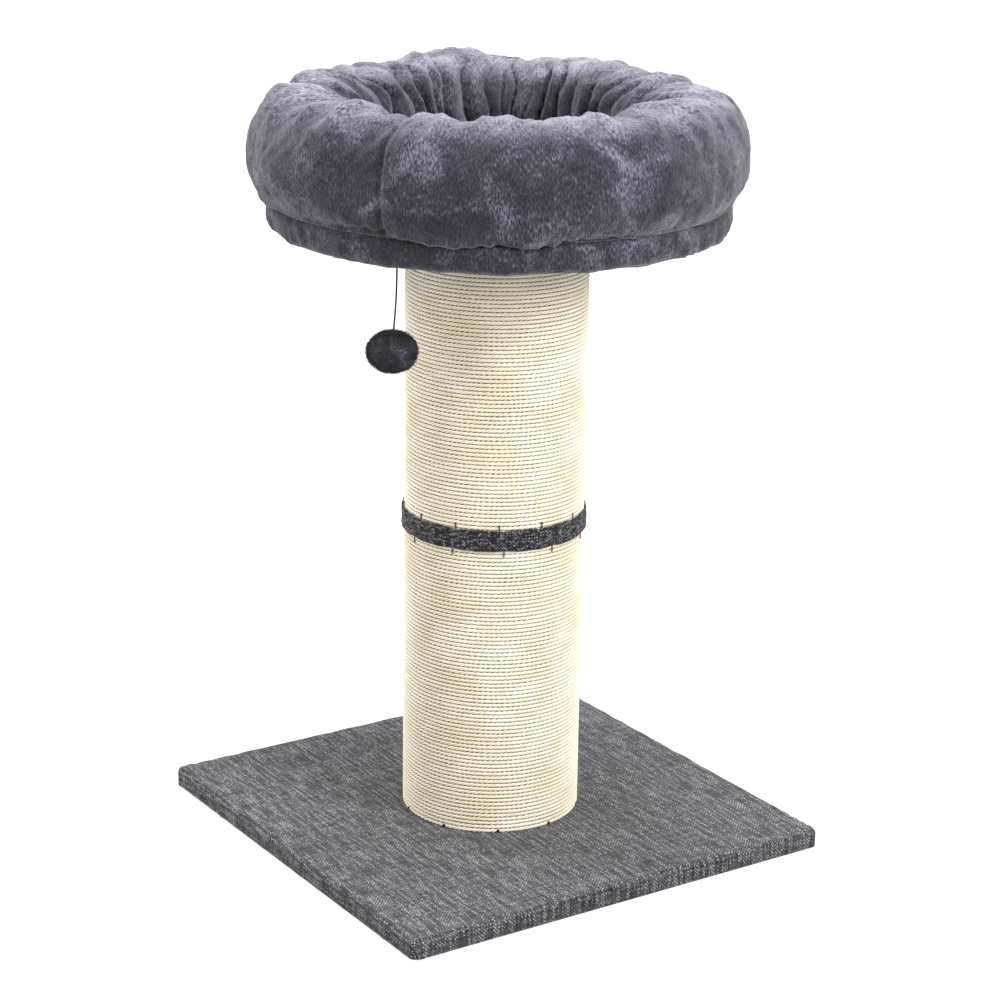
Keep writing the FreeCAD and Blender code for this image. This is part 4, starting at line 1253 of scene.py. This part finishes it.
pile = grown_mesh("plush_ball_pile", pile_tree(), {
    "Tuft Length": pile_length, "Tuft Radius": 0.36 * MM, "Spacing": 0.68 * MM, "Lean": 0.6, "Seed": 7,
    "Material": ball_plush}, ball_host.copy())
ball = show(ball_host, ball_plush, "toy")
ball_pile = show(pile, ball_plush, "toy")
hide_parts("pompom_cover", "pompom_filling")

# %% [markdown]
# ## Floor, background and light
#
# The photograph is a plain studio shot on white: a big soft light from the front right, a weaker one from the
# front left, two from behind that lift the pile on the crest, and one from above. The floor is a white sheet
# that keeps a soft shadow. The world is pure white where the camera meets it, and dimmer as a light.

# %% Floor and background
def seen_directly(tree):
    """One where the camera meets a thing by itself, in a mirror or through glass, and nothing elsewhere."""
    path = add_node(tree, "ShaderNodeLightPath").outputs
    mirrored = worked_out(tree, "MAXIMUM", path["Is Camera Ray"], path["Is Glossy Ray"])
    return worked_out(tree, "MAXIMUM", mirrored, path["Is Transmission Ray"])


def studio_floor():
    """A matt white sheet that keeps the soft shadow near the post and is plain white further off."""
    material, tree, surface = new_material("white_paper_floor")
    place = add_node(tree, "ShaderNodeTexCoord").outputs["Object"]
    distance = add_node(tree, "ShaderNodeVectorMath", {0: place}, operation="LENGTH").outputs["Value"]
    far = spread(tree, distance, shadow_edge_near, shadow_edge_far, (lift_by_the_post, 1.0), "SMOOTHSTEP")
    paper = add_node(tree, "ShaderNodeBsdfDiffuse", {"Color": linear("#A0A0A0")})
    lift = add_node(tree, "ShaderNodeEmission", {
        "Color": (1, 1, 1, 1), "Strength": worked_out(tree, "MULTIPLY", seen_directly(tree), far)})
    both = add_node(tree, "ShaderNodeAddShader", {0: paper.outputs[0], 1: lift.outputs[0]})
    tree.links.new(both.outputs[0], surface)
    return material


shadow_edge_near = 0.35
shadow_edge_far = 0.9
lift_by_the_post = 0.74
floor_half = 12.0
floor_mesh = bpy.data.meshes.new("studio_floor")
floor_mesh.from_pydata([(-floor_half, -floor_half, 0), (floor_half, -floor_half, 0),
                        (floor_half, floor_half, 0), (-floor_half, floor_half, 0)], [], [(0, 1, 2, 3)])
floor = bpy.data.objects.new("studio_floor", floor_mesh)
bpy.context.scene.collection.objects.link(floor)
floor_mesh.materials.append(studio_floor())

ambient_strength = 0.42
world = bpy.data.worlds.new("studio")
bpy.context.scene.world = world
world.use_nodes = True
tree = world.node_tree
tree.nodes.clear()
strength = between(tree, seen_directly(tree), ambient_strength, 1.0)
sky = add_node(tree, "ShaderNodeBackground", {"Color": (1, 1, 1, 1), "Strength": strength})
tree.links.new(sky.outputs[0], add_node(tree, "ShaderNodeOutputWorld").inputs["Surface"])


# %% Lamps
lamp_aim = Vector((0, 0, 0.4))
lamps = {  # degrees from the photograph's direction, distance and height, size, watts
    "key_light": (54, 1.9, 1.3, 1.0, 48),
    "fill_light": (-56, 2.0, 1.0, 1.4, 25),
    "right_back_light": (140, 1.8, 1.6, 1.1, 12),
    "left_back_light": (-132, 1.8, 1.6, 1.1, 28),
    "top_light": (0, 0.0, 2.4, 1.2, 36),
}


def soft_box(name, place, size, watts):
    """A square soft light that faces the middle of the post."""
    light = bpy.data.lights.new(name, "AREA")
    light.size = size
    light.energy = watts
    lamp = bpy.data.objects.new(name, light)
    bpy.context.scene.collection.objects.link(lamp)
    lamp.location = place
    lamp.rotation_euler = (lamp_aim - Vector(place)).to_track_quat("-Z", "Y").to_euler()


def round_from_front(angle, distance, height):
    """A place at an angle from the photograph's direction, positive to the camera's right."""
    return (distance * math.cos(front_angle + math.radians(angle)),
            distance * math.sin(front_angle + math.radians(angle)), height)


for name, (degrees, distance, above, size, watts) in lamps.items():
    soft_box(name, round_from_front(degrees, distance, above), size, watts)

scene = bpy.context.scene
scene.view_settings.view_transform = "Standard"
